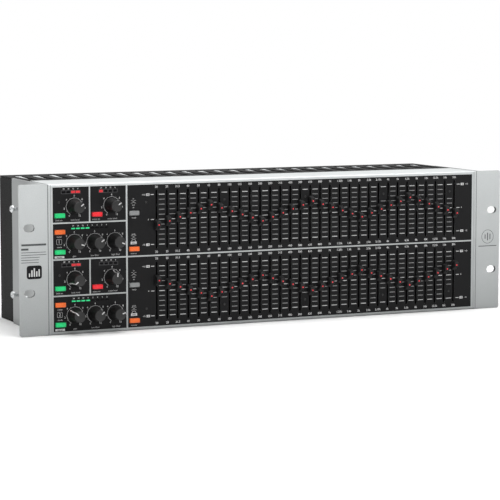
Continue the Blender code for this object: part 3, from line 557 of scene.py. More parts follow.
# painted shade for the fold grooves beside the ears
foldShade = printInk("shaded_fold_line", "#8C9090", "#7F8383")
capPlastic = mouldedBlack("moulded_black_abs", "#0D0D0E", "#121213", (0.42, 0.56), specular=0.28)[0]
knobPlastic = knobMaterial()
inletPlastic = mouldedBlack("moulded_black_nylon", "#131313", "#1B1B1B", (0.38, 0.52))[0]
bezelPlastic = mouldedBlack("smoked_acrylic", "#2C2C2E", "#303032", (0.2, 0.3), 0.02)[0]
trackPlastic = mouldedBlack("dull_black_track", "#040404", "#070707", (0.6, 0.8))[0]
blackScrew = mouldedBlack("blackened_steel", "#0B0B0B", "#101010", (0.3, 0.45), 0.05)[0]
nickel = painted("nickel_plated_steel", {  # bright plated screws and pins, faintly drawn by the tool
    "base": "#DADCDD", "shade": "#C6C9CA", "speck": "#E6E8E9", "fleck": 0.2, "metallic": 0.75,
    "roughness": (0.18, 0.3), "relief": 0.05, "cloudMm": 3, "grainMm": 0.3,
})[0]
bladeSteel = painted("galvanised_steel", {  # zinc-coated sheet with a spangle of bright crystals
    "base": "#CBCECF", "shade": "#B3B7B9", "speck": "#DCDFE0", "fleck": 0.5, "metallic": 0.35,
    "roughness": (0.3, 0.5), "relief": 0.1, "cloudMm": 7, "grainMm": 1.2,
})[0]
buttonLooks = {
    "green": {"middle": "#0CC874", "edge": "#08AA5E", "light": 0.24},
    "red": {"middle": "#EA1E2C", "edge": "#CC1622", "light": 0.22},
    "orange": {"middle": "#E86A26", "edge": "#D2581A", "light": 0.22},
    "grey": {"middle": "#8C8E8E", "edge": "#7E8080", "light": 0.01},
}
buttonPlastic = {key: litPlastic(f"lit_{key}_acrylic", look) for key, look in buttonLooks.items()}
lampLooks = {
    "red": {"middle": "#D21C28", "edge": "#960F18", "light": 0.4},
    "green": {"middle": "#28CC84", "edge": "#0C9A55", "light": 0.6},
    "dark": {"middle": "#050407", "edge": "#040305", "light": 0.0, "specular": 0.08},
    "fader": {"middle": "#F0323C", "edge": "#D01C28", "light": 0.5},
}
lampPlastic = {key: litPlastic(f"{key}_lamp_lens", look) for key, look in lampLooks.items()}
print("materials made")


def dressNodes():
    # the CAD pieces whose shape is right keep it, and take the finished materials
    finishes = {
        "front_panel": panelSilver, "left_rack_bracket": silver, "right_rack_bracket": silver,
        "chassis_tray": trayPowder, "top_cover": powder, "upper_fader_bank": trackPlastic,
        "lower_fader_bank": trackPlastic, "mains_inlet": inletPlastic, "fuse_holder": inletPlastic,
        "power_rocker": inletPlastic, "mains_transformer": transformerMaterial(),
    }
    green = boardMaterial("green_solder_mask")
    sockets = boardMaterial("green_solder_mask_and_sockets", rearY - 22 * mm)
    for name in ("upper_fader_board", "lower_fader_board", "main_board", "control_board"):
        finishes[name] = green
    finishes["rear_io_board"] = sockets
    for name, material in finishes.items():
        data = nodes[name].data
        data.materials.clear()
        data.materials.append(material)
    print("CAD pieces dressed:", len(finishes))


faders = {
    "count": 31, "firstX": -113.7 * mm, "pitch": 10.15 * mm, "travel": 22.3 * mm, "slotHalf": 26.1 * mm,
    "upper": (5, 11.6 * mm, -4.8 * mm), "lower": (0, 9.6 * mm, -6.9 * mm), "period": 10, "perOctave": 3,
    "labels": "20 25 31.5 40 50 63 80 100 125 160 200 250 315 400 500 630 800 1k 1.25k 1.6k 2k "
              "2.5k 3.15k 4k 5k 6.3k 8k 10k 12.5k 16k 20k",
}
knobs = {  # x and height above the fader middle, in mm
    "limiter": (-190.9, 14.1), "noise_gate": (-156.1, 14.1), "gain": (-191.1, -17.7),
    "low_cut": (-172.2, -17.7), "high_cut": (-153.3, -17.7),
}
buttons = {
    "limiter": "green", "noise_gate": "red", "meter": "orange",
    "bypass": "green", "range": "grey", "contour": "orange",
}
lampBars = {  # first x, height above the fader middle, count, pitch, half height, half width, in mm
    "limiter_lamps": (-200.7, 26.9, 4, 4.38, 1.05, 1.95),
    "noise_gate_lamps": (-166.0, 26.9, 4, 4.38, 1.05, 1.75),
    "level_lamps": (-192.2, -5.2, 8, 4.44, 0.6, 1.75),
}
litLamps = {  # the colour of the lit lamps, and which are lit in each channel
    "limiter_lamps": ("red", {"upper": (2, 3), "lower": (2, 3)}),
    "noise_gate_lamps": ("red", {"upper": (0,), "lower": ()}),
    "level_lamps": ("green", {"upper": (0, 1, 2, 3), "lower": (0, 1, 2, 3)}),
}


def bandX(index):
    return faders["firstX"] + index * faders["pitch"]


def faderHeight(channel, index):
    # straight-sided wave between a crest and a trough
    crestBand, crest, trough = faders[channel]
    phase = ((index - crestBand) % faders["period"]) / faders["period"]
    return trough + (crest - trough) * abs(2 * phase - 1)


def makeFields():
    # black print on the silver panel, pierced for every slot, lamp, button and shaft
    spec = {  # in mm
        "left": -210.8, "split": -177.4, "gap": 1.3, "wideEnd": -142.8, "eqStart": -141.2, "right": 210.3,
        "bottom": 2.65, "row": 30.75, "rule": 1.3, "front": 0.12, "back": 0.02,
        "slotHalf": 0.85, "shaftHalf": 3.5, "buttonGap": 0.35, "lampHalf": 1.45, "lampLap": 0.05,
    }
    rows = [spec["bottom"] + i * (spec["row"] + spec["rule"]) for i in range(4)]
    fields = []
    for i, low in enumerate(rows):
        high = low + spec["row"]
        if i % 2:
            fields.append((spec["left"], spec["split"], low, high))
            fields.append((spec["split"] + spec["gap"], spec["wideEnd"], low, high))
        else:
            fields.append((spec["left"], spec["wideEnd"], low, high))
    for low in (rows[0], rows[2]):
        fields.append((spec["eqStart"], spec["right"], low, low + 2 * spec["row"] + spec["rule"]))
    openings = []  # middle x, middle z, half width, half height
    for channel, middle in channels.items():
        middle = middle / mm
        for i in range(faders["count"]):
            openings.append((bandX(i) / mm, middle, spec["slotHalf"], faders["slotHalf"] / mm))
        for x, rise in knobs.values():
            openings.append((x, middle + rise, spec["shaftHalf"], spec["shaftHalf"]))
        for name in buttons:
            low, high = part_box(f"{channel}_{name}_button")
            x, y, z = (low + high) / 2 / mm
            halfX, halfY, halfZ = (high - low) / 2 / mm
            openings.append((x, z, halfX + spec["buttonGap"], halfZ + spec["buttonGap"]))
        for first, rise, count, pitch, half, wide in lampBars.values():
            for i in range(count):
                openings.append((first + i * pitch, middle + rise, spec["lampHalf"], half - spec["lampLap"]))
    holes = [(x - halfX, x + halfX, z - halfZ, z + halfZ) for x, z, halfX, halfZ in openings]
    shapes = []
    for x0, x1, z0, z1 in fields:
        inside = [h for h in holes if x0 < h[0] and h[1] < x1 and z0 < h[2] and h[3] < z1]
        faces = frontY - spec["front"] * mm, frontY - spec["back"] * mm
        shapes.append(holedPlate((x0, x1, z0, z1), inside, *faces))
    addPrint("printed_fields", shapes, fieldInk)
    print("printed fields:", len(fields))


legend = {"y": frontY - 0.14 * mm, "thick": 0.03 * mm}


def makeTicks():
    # eleven short dashes between neighbouring slots, the end and middle rows brighter
    spec = {
        "rows": 11, "length": 5.5 * mm, "height": 0.48 * mm, "boldHeight": 0.6 * mm,
        "screwGaps": (6, 14, 22, 29), "screwRows": {"upper": (8, 9), "lower": (1, 2)},
        "sideX": (-117.6 * mm, 195.2 * mm), "sideLength": 3.2 * mm,
    }
    soft, bold, lengths = [], [], []
    levels = np.linspace(-faders["travel"], faders["travel"], spec["rows"])
    mainRows = (0, spec["rows"] // 2, spec["rows"] - 1)
    for channel, middle in channels.items():
        for gap in range(faders["count"] - 1):
            x = bandX(gap) + faders["pitch"] / 2
            for row, level in enumerate(levels):
                if gap in spec["screwGaps"] and row in spec["screwRows"][channel]:
                    continue
                at = (x, legend["y"], middle + level)
                if row in mainRows:
                    bold.append(at)
                    lengths.append(spec["length"])
                else:
                    soft.append(at)
        for x in spec["sideX"]:
            bold += [(x, legend["y"], middle + levels[row]) for row in mainRows]
            lengths += [spec["sideLength"]] * len(mainRows)
    sizes = [(length, legend["thick"], spec["boldHeight"]) for length in lengths]
    addPrint("scale_dashes", [boxes(soft, (spec["length"], legend["thick"], spec["height"]))], softInk)
    addPrint("main_scale_dashes", [boxes(bold, sizes)], whiteInk)
    print("dashes:", len(soft) + len(bold))


def makeLegends():
    # numbers, short words, value boxes and small symbols, at heights above each fader middle
    spec = {
        "bandText": 1.9, "bandRise": (29.0, -29.1), "zeroText": 1.4, "zeroX": (-121.5, 199.0),
        "rangeText": 1.35, "rangeX": ((-122.0, -125.9), (199.6, 204.4)), "rangeBox": (3.3, 2.2),
        "dialText": 1.6, "dialRadius": 9.5, "lampText": 1.2, "lampRise": 1.75,
        "lampNumbers": (24, 18, 12, 6, 3, 0, 3, 6), "numberAt": (-205.2, -16.6), "numberText": 3.0,
        "frame": 2.5, "symbolX": -135.6, "curveRise": (16.4, -14.9), "curveHalf": 2.4, "curveBend": 1.25,
        "curveWidth": 0.34, "domeRise": -18.9, "domeRadius": 1.9, "domeWidth": 0.5, "stubRise": 11.3,
    }
    captions = {  # word: x, height above the fader middle, letter height
        "limit on": (-205.2, 2.3, 1.5), "limit level": (-190.3, 2.3, 1.5), "noise on": (-170.8, 2.3, 1.5),
        "noise level": (-155.6, 2.3, 1.5), "meter": (-205.0, -12.1, 1.4), "mode": (-205.0, -21.3, 1.4),
        "gain": (-191.1, -29.6, 1.5), "low filter": (-172.2, -29.6, 1.5), "high filter": (-152.6, -29.6, 1.5),
        "range": (-135.2, 2.3, 1.4), "contour": (-135.6, -29.6, 1.3), "in": (-135.6, 19.1, 1.4),
        "out": (-135.6, 13.6, 1.4), "wide": (-135.6, -12.4, 1.4),
    }
    boxed = {"bypass": (-205.0, -30.0, 8.8, 1.9), "auto": (-135.6, -20.2, 5.8, 2.3)}  # x, height, box size
    thick, y = legend["thick"], legend["y"]
    bandText, softText, dialText, boxText, marks, inverse = [], [], [], [], [], []
    rangeBoxes, captionBoxes = [], []

    def word(text, height, x, rise, out=y):
        return textShape(text, height * mm, x * mm, middle + rise * mm, out)

    for number, middle in enumerate(channels.values(), 1):
        for i, label in enumerate(faders["labels"].split()):
            bandText += [word(label, spec["bandText"], bandX(i) / mm, rise) for rise in spec["bandRise"]]
        bandText += [word("0", spec["zeroText"], x, 0) for x in spec["zeroX"]]
        for mark, level in (("+", faders["travel"] / mm), ("-", -faders["travel"] / mm)):
            for boxX, textX in spec["rangeX"]:
                rangeBoxes.append((boxX * mm, y, middle + level * mm))
                softText.append(word(mark + "12", spec["rangeText"], textX, level))
                boxText.append(word(mark + "6", spec["rangeText"], boxX, level, y - thick))
        for x, rise in knobs.values():
            for i, angle in enumerate(np.radians(np.linspace(-150, 150, 7))):
                across, up = spec["dialRadius"] * math.sin(angle), spec["dialRadius"] * math.cos(angle)
                dialText.append(word(str(2 * i), spec["dialText"], x + across, rise + up))
        for first, rise, count, pitch, half, wide in lampBars.values():
            for i, value in enumerate(spec["lampNumbers"][:count]):
                above = rise + half + spec["lampRise"]
                softText.append(word(str(value), spec["lampText"], first + i * pitch, above))
        marks += [word(text, height, x, rise) for text, (x, rise, height) in captions.items()]
        for text, (x, rise, width, height) in boxed.items():
            captionBoxes.append((x * mm, y, middle + rise * mm, width * mm, thick, height * mm))
            inverse.append(word(text, spec["rangeText"], x, rise, y - thick))
        x, rise = spec["numberAt"]
        frame = outlinePoints(spec["frame"] * mm, spec["frame"] * mm, 6, 40)
        plate = (y - thick / 2, y + thick / 2, 0.005 * mm)
        marks.append(collar(x * mm, middle + rise * mm, frame * 0.88, frame, *plate))
        marks.append(word(str(number), spec["numberText"], x, rise))
        x, t = spec["symbolX"] * mm, np.linspace(-1, 1, 24)
        for rise in spec["curveRise"]:
            for bend in (-spec["curveBend"], spec["curveBend"]):
                # an S curve: height is the bend times the tanh of the way along
                heights = middle + (rise + bend * np.tanh(2.5 * t)) * mm
                path = np.stack([x + t * spec["curveHalf"] * mm, heights], -1)
                marks.append(line(path, spec["curveWidth"] * mm, y, thick))
        dome = middle + spec["domeRise"] * mm, spec["domeRadius"] * mm, spec["domeWidth"] * mm
        marks.append(band(x, *dome, -90, 90, y, thick, 24))
        marks.append(boxes([(x, y, middle + spec["stubRise"] * mm)], (1.2 * mm, thick, 0.9 * mm)))
    rangeSize = (spec["rangeBox"][0] * mm, thick, spec["rangeBox"][1] * mm)
    captionBoxes = np.array(captionBoxes)
    addPrint("band_numbers", bandText, whiteInk)
    addPrint("dial_numbers", dialText, whiteInk)
    addPrint("lamp_and_scale_numbers", softText, whiteInk)
    addPrint("range_boxes", [boxes(rangeBoxes, rangeSize)], whiteInk)
    addPrint("range_box_numbers", boxText, fieldInk)
    addPrint("captions", marks, softInk)
    addPrint("caption_boxes", [boxes(captionBoxes[:, :3], captionBoxes[:, 3:])], whiteInk)
    addPrint("caption_box_words", inverse, fieldInk)
    print("legends made")


def makeDials():
    # a ring of 300 degrees with eleven marks round each knob
    spec = {
        "radius": 7.5 * mm, "width": 0.42 * mm, "sweep": 150, "marks": 11, "markLength": 0.9 * mm,
        "markWidth": 0.34 * mm,
    }
    ends = np.array([spec["radius"], spec["radius"] + spec["markLength"]])
    flat = legend["y"], legend["thick"]
    shapes = []
    for middle in channels.values():
        for x, rise in knobs.values():
            x, z = x * mm, middle + rise * mm
            shapes.append(band(x, z, spec["radius"], spec["width"], -spec["sweep"], spec["sweep"], *flat))
            for a in np.radians(np.linspace(-spec["sweep"], spec["sweep"], spec["marks"])):
                path = np.stack([x + ends * math.sin(a), z + ends * math.cos(a)], -1)
                shapes.append(line(path, spec["markWidth"], *flat))
    addPrint("dial_rings", shapes, softInk)
    print("dials made")


def makeKnobs():
    # turned body: dished face, waisted side with faint flutes, flared skirt, and its shaft
    spec = {
        "profile": [  # (radius, y) in mm
            (3.9, -13.7), (4.45, -14.0), (4.95, -13.75), (5.05, -12.6), (5.1, -8.5), (5.35, -5.6),
            (5.95, -3.3), (6.55, -2.0), (6.6, -1.2), (6.5, -0.8), (3.0, -0.8), (3.0, 8.0),
        ],
        "pointer": [
            (1.9, -13.74), (3.85, -13.74), (4.45, -13.96), (4.97, -13.75), (5.08, -12.6), (5.14, -8.5),
            (5.39, -5.6), (5.99, -3.3), (6.59, -2.0), (6.64, -1.3),
        ],
        "segments": 72, "flutes": 24, "fluteDepth": 0.012, "pointerSize": (0.95 * mm, 0.12 * mm),
        "upper": {"limiter": 53, "noise_gate": 53, "gain": 108, "low_cut": 53, "high_cut": 110},
        "lower": {"limiter": -124, "noise_gate": 5, "gain": -45, "low_cut": 48, "high_cut": 70},
    }
    profile = np.vstack([[(0.01, -13.7)], softCorners(spec["profile"], 0.25), [(0.01, 8.0)]]) * mm
    path = softCorners(spec["pointer"], 0.3) * mm

    def flutes(angle, y):
        # radius falls by the depth times the fourth power of a raised cosine, and not near the ends
        inside = np.clip((y / mm + 13.2) / 0.8, 0, 1) * np.clip((-4.5 - y / mm) / 1.5, 0, 1)
        return 1 - spec["fluteDepth"] * inside * (0.5 + 0.5 * np.cos(spec["flutes"] * angle)) ** 4

    for channel, middle in channels.items():
        for name, (x, rise) in knobs.items():
            node = f"{channel}_{name}_knob"
            at = (x * mm, frontY, middle + rise * mm)
            shape = turned(profile, spec["segments"], at, flutes)
            body = addMesh(f"{node}_body", shape, knobPlastic, node, 30)
            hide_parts(node)
            angle = math.radians(spec[channel][name])
            shape = strip(path, *spec["pointerSize"], angle, at)
            addMesh(f"{node}_pointer", shape, whiteInk, node)
    print("knobs made")


def makeButtons():
    # rounded caps whose light falls off towards the edge
    spec = {"edge": 0.4 * mm, "power": 10, "points": 48, "middleGlow": 1.15, "fall": 0.5}
    for channel in channels:
        for name, colour in buttons.items():
            node = f"{channel}_{name}_button"
            low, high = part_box(node)
            x, y, z = (low + high) / 2
            halfX, halfY, halfZ = (high - low) / 2
            outline = (spec["edge"], spec["power"], spec["points"])
            points, faces = pillow(x, z, halfX, halfZ, low.y, high.y, *outline)
            off = np.maximum(np.abs(points[:, 0] - x) / halfX, np.abs(points[:, 2] - z) / halfZ)
            glow = np.clip(spec["middleGlow"] - spec["fall"] * off, 0, 1) * (points[:, 1] < low.y + mm)
            cap = addMesh(f"{node}_cap", (points, faces), buttonPlastic[colour], node, 40, glow)
            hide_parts(node)
    print("buttons made")


def makeLamps():
    # small flat lenses in the windows of the meters
    spec = {
        "lens": (frontY - 0.24 * mm, frontY - 0.14 * mm, 0.08 * mm, 12, 24), "glow": 0.9, "bezel": 0.6,
        "plate": (frontY - 0.15 * mm, frontY - 0.121 * mm), "windowHalf": 1.4, "windowLap": 0.1,
        "slots": {"red": "red_button", "green": "green_button", "dark": "black_plastic"},
    }
    for channel, middle in channels.items():
        for name, (first, rise, count, pitch, half, wide) in lampBars.items():
            z = middle / mm + rise
            xs = [first + i * pitch for i in range(count)]
            if name != "level_lamps":
                # a smoked strip frames the row of windows
                across, up = spec["windowHalf"], half - spec["windowLap"]
                edge, rim = wide + spec["bezel"], half + spec["bezel"]
                holes = [(x - across, x + across, z - up, z + up) for x in xs]
                plate = holedPlate((xs[0] - edge, xs[-1] + edge, z - rim, z + rim), holes, *spec["plate"])
                addMesh(f"{channel}_{name}_bezel", plate, bezelPlastic, "root")
            lit, which = litLamps[name]
            groups = {}
            for i, x in enumerate(xs):
                lens = pillow(x * mm, z * mm, wide * mm, half * mm, *spec["lens"])
                groups.setdefault(lit if i in which[channel] else "dark", []).append(lens)
            for colour, lenses in groups.items():
                shape, slot = merge(lenses), spec["slots"][colour]
                glow = np.full(len(shape[0]), spec["glow"])
                addMesh(f"{channel}_{name}_{colour}", shape, lampPlastic[colour], "root", 40, glow)
    print("lamps made")


def capShape(x, z):
    # rings of a rounded rectangle that swells from the ridge to the base, then steps down to the stem
    rings = [  # y, half width, half height, rise
        (-6.55, 1.75, 1.9, 0.9), (-6.62, 2.0, 2.15, 0.9), (-6.45, 2.12, 2.32, 0.9), (-5.2, 2.2, 2.62, 0.8),
        (-3.8, 2.34, 3.3, 0.5), (-2.9, 2.44, 4.1, 0.2), (-2.3, 2.5, 4.62, 0.0), (-1.2, 2.5, 4.7, 0.0),
        (-0.85, 2.42, 4.62, 0.0), (-0.8, 0.6, 1.75, 0.0), (-0.7, 0.55, 1.7, 0.0), (9.0, 0.55, 1.7, 0.0),
    ]
    unit = outlinePoints(1, 1, 7, 28)
    y, halfX, halfZ, rise = np.array(rings).T[:, :, None] * mm
    across, up = x + unit[:, 0] * halfX, z + unit[:, 1] * halfZ + rise
    return closedRings(np.stack([across, np.broadcast_to(frontY + y, across.shape), up], -1))


def octaves():
    # bands in threes, with the odd ones shared by both ends
    count, size = faders["count"], faders["perOctave"]
    edges = [0, *range((count % size + size) // 2, count, size), count]
    return [range(a, b) for a, b in zip(edges, edges[1:])]


def makeFaders():
    # caps with a lamp in the ridge, on stems that a hidden bar links behind the panel
    spec = {
        "linkFront": 2.6 * mm, "link": 2.0 * mm, "reach": 2.0 * mm, "lampRadius": 0.62 * mm,
        "lampY": -6.5 * mm, "lampRise": 0.25 * mm, "lampFoot": 0.3 * mm, "lampHeight": 0.7, "glow": 0.9,
    }
    radius = spec["lampRadius"]
    dome = [
        (max(math.cos(t), 0.02) * radius, -math.sin(t) * radius * spec["lampHeight"])
        for t in np.linspace(np.pi / 2, 0, 5)
    ]
    dome += [(radius, spec["lampFoot"]), (0.02 * mm, spec["lampFoot"])]
    for channel, middle in channels.items():
        for number, bands in enumerate(octaves(), 1):
            node = f"{channel}_fader_group_{number:02d}"
            places = [(bandX(i), middle + faderHeight(channel, i)) for i in bands]
            xs, zs = np.array(places).T
            depth = frontY + spec["linkFront"] + spec["link"] / 2
            centre = ((xs[0] + xs[-1]) / 2, depth, (max(zs) + min(zs)) / 2)
            size = (np.ptp(xs) + 2 * spec["reach"], spec["link"], np.ptp(zs) + 2 * spec["reach"])
            shape = merge([capShape(x, z) for x, z in places] + [boxes([centre], size)])
            caps = addMesh(f"{node}_caps", shape, capPlastic, node, 35)
            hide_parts(node)
            lampAt = [(x, frontY + spec["lampY"], z + spec["lampRise"]) for x, z in places]
            lamps = merge([turned(dome, 12, at) for at in lampAt])
            glow = np.full(len(lamps[0]), spec["glow"])
            addMesh(f"{node}_lamps", lamps, lampPlastic["fader"], node, 50, glow)
    print("faders made")


def screwHead(radius, height, recess):
    # polar grid over a domed head: height falls with radius to the fourth, and a cross is pressed in
    r = np.concatenate([np.linspace(0.02, 0.8, 9), [0.9, 0.97, 1.0]])[:, None]
    a = np.linspace(0, 2 * np.pi, 40, endpoint=False)[None]
    x, z = r * np.sin(a), r * np.cos(a)
    u, v = np.abs(x), np.abs(z)
    arm = np.minimum(np.maximum(u / 0.6, v / 0.14), np.maximum(v / 0.6, u / 0.14))
    y = recess * np.clip((1.12 - arm) / 0.25, 0, 1) - height * (1 - 0.75 * r ** 4)
    top = np.stack([x * radius, y, z * radius], -1)
    rim = top[-1:].copy()
    rim[..., 1] = 0
    return closedRings(np.concatenate([top, rim]))


def faceAlong(shape, axis, at):
    # turns a head that faces -Y to face another way, and puts it in place
    points, faces = shape
    turns = {
        "-Y": [(1, 0, 0), (0, 1, 0), (0, 0, 1)], "+Y": [(-1, 0, 0), (0, -1, 0), (0, 0, 1)],
        "-X": [(0, -1, 0), (1, 0, 0), (0, 0, 1)], "+X": [(0, 1, 0), (-1, 0, 0), (0, 0, 1)],
    }
    return points @ np.array(turns[axis], float) + np.asarray(at), faces


def makeScrews():
    spec = {  # in mm; heights of the panel's screws are above the fader middle
        "fasciaX": (-123.6, -47.6, 33.6, 114.8, 185.8), "fasciaRise": {"upper": 15.7, "lower": -15.5},
        "leftX": -205.2, "leftRise": 18.1,
        "fascia": [
            (0.01, 0.02), (0.5, 0.0), (0.55, -0.28), (0.75, -0.34), (1.0, -0.26), (1.1, -0.1), (1.1, 0.0),
            (0.01, 0.01),
        ],
        "sideY": (34, 71), "sideZ": (28.3, 106.0), "plate": 2.3, "head": (3.4, 2.2, 1.2), "headAt": -4.8,
        "lip": [(0.01, -4.9), (3.3, -4.9), (3.4, -4.7), (3.4, -4.3), (3.2, -4.1), (0.01, -4.1)],
        "shank": [(0.01, -4.5), (1.7, -4.5), (1.7, 0.1), (0.01, 0.1)],
        "rear": (2.6, 1.3, 0.8), "rearX": (-205, -70, 70, 205), "rearZ": (122, 8),
    }
    small = turned(np.array(spec["fascia"]) * mm, 24)
    heads = []
    for channel, middle in channels.items():
        places = [(x, spec["fasciaRise"][channel]) for x in spec["fasciaX"]]
        places.append((spec["leftX"], spec["leftRise"]))
        for x, rise in places:
            heads.append(faceAlong(small, "-Y", (x * mm, frontY - 0.13 * mm, middle + rise * mm)))
    addMesh("fascia_screws", merge(heads), blackScrew, "root", 40)
    head, rows = screwHead(*[size * mm for size in spec["head"]])
    lip, shank = np.array(spec["lip"]) * mm, np.array(spec["shank"]) * mm
    pan = merge([(head + (0, spec["headAt"] * mm, 0), rows), turned(lip, 40), turned(shank, 20)])
    for side, axis, name in ((-1, "-X", "left"), (1, "+X", "right")):
        plate = side * (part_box("chassis_tray")[1].x + spec["plate"] * mm)
        places = [(plate, frontY + y * mm, z * mm) for y in spec["sideY"] for z in spec["sideZ"]]
        heads = [faceAlong(pan, axis, at) for at in places]
        addMesh(f"{name}_bracket_screws", merge(heads), nickel, "root", 35)
    rear = screwHead(*[size * mm for size in spec["rear"]])
    heads = [faceAlong(rear, "+Y", (x * mm, rearY, z * mm)) for x in spec["rearX"] for z in spec["rearZ"]]
    addMesh("rear_wall_screws", merge(heads), blackScrew, "root", 35)
    print("screws made")


def makeVentBlades():
    # a bright steel blade slopes down and forwards from the far end of each vent
    spec = {
        "count": 26, "pitch": 16.5, "width": 6.2, "far": 112.6, "near": 72.0, "drop": 1.9, "thick": 0.4,
        "under": 0.25,
    }
    x = (np.arange(spec["count"]) - (spec["count"] - 1) / 2) * spec["pitch"]
    middles = np.column_stack([x, np.zeros_like(x), np.zeros_like(x)])
    points, faces = boxes(middles, (spec["width"], 1, spec["thick"]))
    share = points[:, 1] + 0.5  # 0 at the near end and 1 at the far end
    points[:, 2] += panelTop / mm - spec["under"] - spec["thick"] / 2 - spec["drop"] * (1 - share)
    points[:, 1] = frontY / mm + spec["near"] + (spec["far"] - spec["near"]) * share
    addMesh("vent_blades", (points * mm, faces), bladeSteel, "root")
    print("vent blades:", spec["count"])


def makeRearFittings():
    # flanges, nuts and washers round the sockets, contacts in them, and the panel's outlines
    spec = {  # in mm
        "outletX": -186.0, "inletX": -152.0, "jackX": (-124.0, -104.0), "flange": (13.0, 15.5), "bore": 11.55,
        "flangeScrew": (1.7, 0.6, 0.5), "flangeScrewAt": (9.6, 12.0), "pinRing": 4.2,
        "pin": [(0.01, -10.1), (1.3, -10.1), (1.3, -4.5), (0.9, -4.1), (0.01, -4.05)],
        "jackBore": 5.55, "washer": 7.6, "nut": 6.3, "frame": (56, 25), "frameX": -145, "frameLine": 0.45,
        "numberX": -94.5, "numberRise": 17, "numberText": 4.5, "label": (33, 15), "labelAt": (55, 32),
        "labelLine": 0.4, "rules": (44, 38, 44, 30, 20), "ruleTop": 41, "rulePitch": 4.4, "ruleHeight": 0.8,
    }
    count = 48
    plates, nuts, pins, prints = [], [], [], []
    circle = outlinePoints(mm, mm, 2, count)
    t = np.arange(count) * 2 * np.pi / count
    hexagon = circle / np.cos((t + np.pi / 6) % (np.pi / 3) - np.pi / 6)[:, None]  # flats touch the circle
    flange = outlinePoints(*[size * mm for size in spec["flange"]], 9, count)
    rim = rearY + 0.05 * mm
    screw = screwHead(*[size * mm for size in spec["flangeScrew"]])

    def ring(target, x, z, inner, outer, front, back, edge):
        shape = collar(0, 0, inner, outer, front * mm, back * mm, edge * mm)
        target.append(faceAlong(shape, "+Y", (x * mm, rim, z)))

    def outline(x, z, sizes, width):
        edge = outlinePoints(*[size * mm for size in sizes], 30, 96)
        shape = collar(0, 0, edge - np.sign(edge) * width * mm, edge, -0.05 * mm, 0, 0.01 * mm)
        prints.append(faceAlong(shape, "+Y", (x * mm, rearY + 0.02 * mm, z)))

    for number, z in enumerate(channels.values(), 1):
        for x in (spec["outletX"], spec["inletX"]):
            ring(plates, x, z, circle * spec["bore"], flange, -1.5, 0, 0.4)
            for sign in (-1, 1):
                across, up = spec["flangeScrewAt"]
                at = ((x + sign * across) * mm, rim + 1.5 * mm, z - sign * up * mm)
                pins.append(faceAlong(screw, "+Y", at))
        for a in np.radians([90, 210, 330]):
            across, up = spec["pinRing"] * math.cos(a), spec["pinRing"] * math.sin(a)
            at = ((spec["outletX"] + across) * mm, rearY, z + up * mm)
            pins.append(turned(np.array(spec["pin"]) * mm, 20, at))
        for x in spec["jackX"]:
            ring(nuts, x, z, circle * spec["jackBore"], circle * spec["washer"], -0.6, 0, 0.15)
            ring(nuts, x, z, circle * spec["jackBore"], hexagon * spec["nut"], -2.8, -0.6, 0.3)
        outline(spec["frameX"], z, spec["frame"], spec["frameLine"])
        at = (spec["numberX"] * mm, rearY + 0.04 * mm, z + spec["numberRise"] * mm)
        prints.append(faceAlong(textShape(str(number), spec["numberText"] * mm, 0, 0, 0), "+Y", at))
    x, z = spec["labelAt"]
    outline(x, z * mm, spec["label"], spec["labelLine"])
    widths, y = spec["rules"], rearY + 0.04 * mm
    rules = [(x + (widths[0] - w) / 2, spec["ruleTop"] - spec["rulePitch"] * i) for i, w in enumerate(widths)]
    sizes = [(w * mm, 0.03 * mm, spec["ruleHeight"] * mm) for w in widths]
    prints.append(boxes([(x * mm, y, z * mm) for x, z in rules], sizes))
    addMesh("socket_flanges", merge(plates), inletPlastic, "root", 35)
    addMesh("jack_nuts", merge(nuts), nickel, "root", 35)
    addMesh("socket_contacts", merge(pins), nickel, "root", 35)
    addPrint("rear_outlines", prints, softInk)
    print("rear fittings made")


def makeEarMarks():
    # plain rules and a bar-graph badge, printed dark on the silver ears
    spec = {  # in mm; a rule is (left, middle height, length, thickness)
        "rules": [(-239.65, 80.2, 22.5, 1.7), (-239.9, 76.4, 6.6, 1.7)],
        "fineLeft": -240, "fineTop": 73.6, "finePitch": 2.2, "fine": (22.6, 23.0, 16.8, 16.2, 16.0),
        "badge": (-228.2, 56.2, 6.9, 5.9), "barFoot": 52.4, "barPitch": 2.2, "bars": (3, 5.6, 7.4, 4.6, 6.4),
        "ring": (228.3, 69.2, 6.6), "ringBars": (4.2, 7.4, 5.4), "ringPitch": 2.7, "under": (60.2, 20, 0.7),
    }
    y, thick = frontY - 0.03 * mm, 0.03 * mm

    def bars(places, depth=y):
        # flat bars at (middle x, middle z, width, height)
        middles = [(x * mm, depth, z * mm) for x, z, w, h in places]
        return boxes(middles, [(w * mm, thick, h * mm) for x, z, w, h in places])

    rules = list(spec["rules"])
    for i, length in enumerate(spec["fine"]):
        rules.append((spec["fineLeft"], spec["fineTop"] - spec["finePitch"] * i, length, 0.5))
    addPrint("ear_rules", [bars([(left + w / 2, z, w, h) for left, z, w, h in rules])], darkInk)
    x, z, halfX, halfZ = spec["badge"]
    badge = pillow(x * mm, z * mm, halfX * mm, halfZ * mm, y - 0.1 * mm, y + thick, 0.05 * mm, 7, 48)
    addMesh("ear_badge", badge, fieldInk, "root", 30)
    graph = [
        (x + spec["barPitch"] * (i - 2), spec["barFoot"] + h / 2, 1.2, h) for i, h in enumerate(spec["bars"])
    ]
    addMesh("ear_badge_bars", bars(graph, y - 0.12 * mm), whiteInk, "root")
    x, z, radius = spec["ring"]
    edge = outlinePoints(radius * mm, radius * mm, 2, 64)
    marks = [collar(x * mm, z * mm, edge * 0.94, edge, y - thick, y + thick, 0.005 * mm)]
    marks.append(bars([(x + spec["ringPitch"] * (i - 1), z, 0.9, h) for i, h in enumerate(spec["ringBars"])]))
    marks.append(bars([(x, *spec["under"])]))
    addPrint("right_ear_mark", marks, darkInk)
    print("ear marks made")


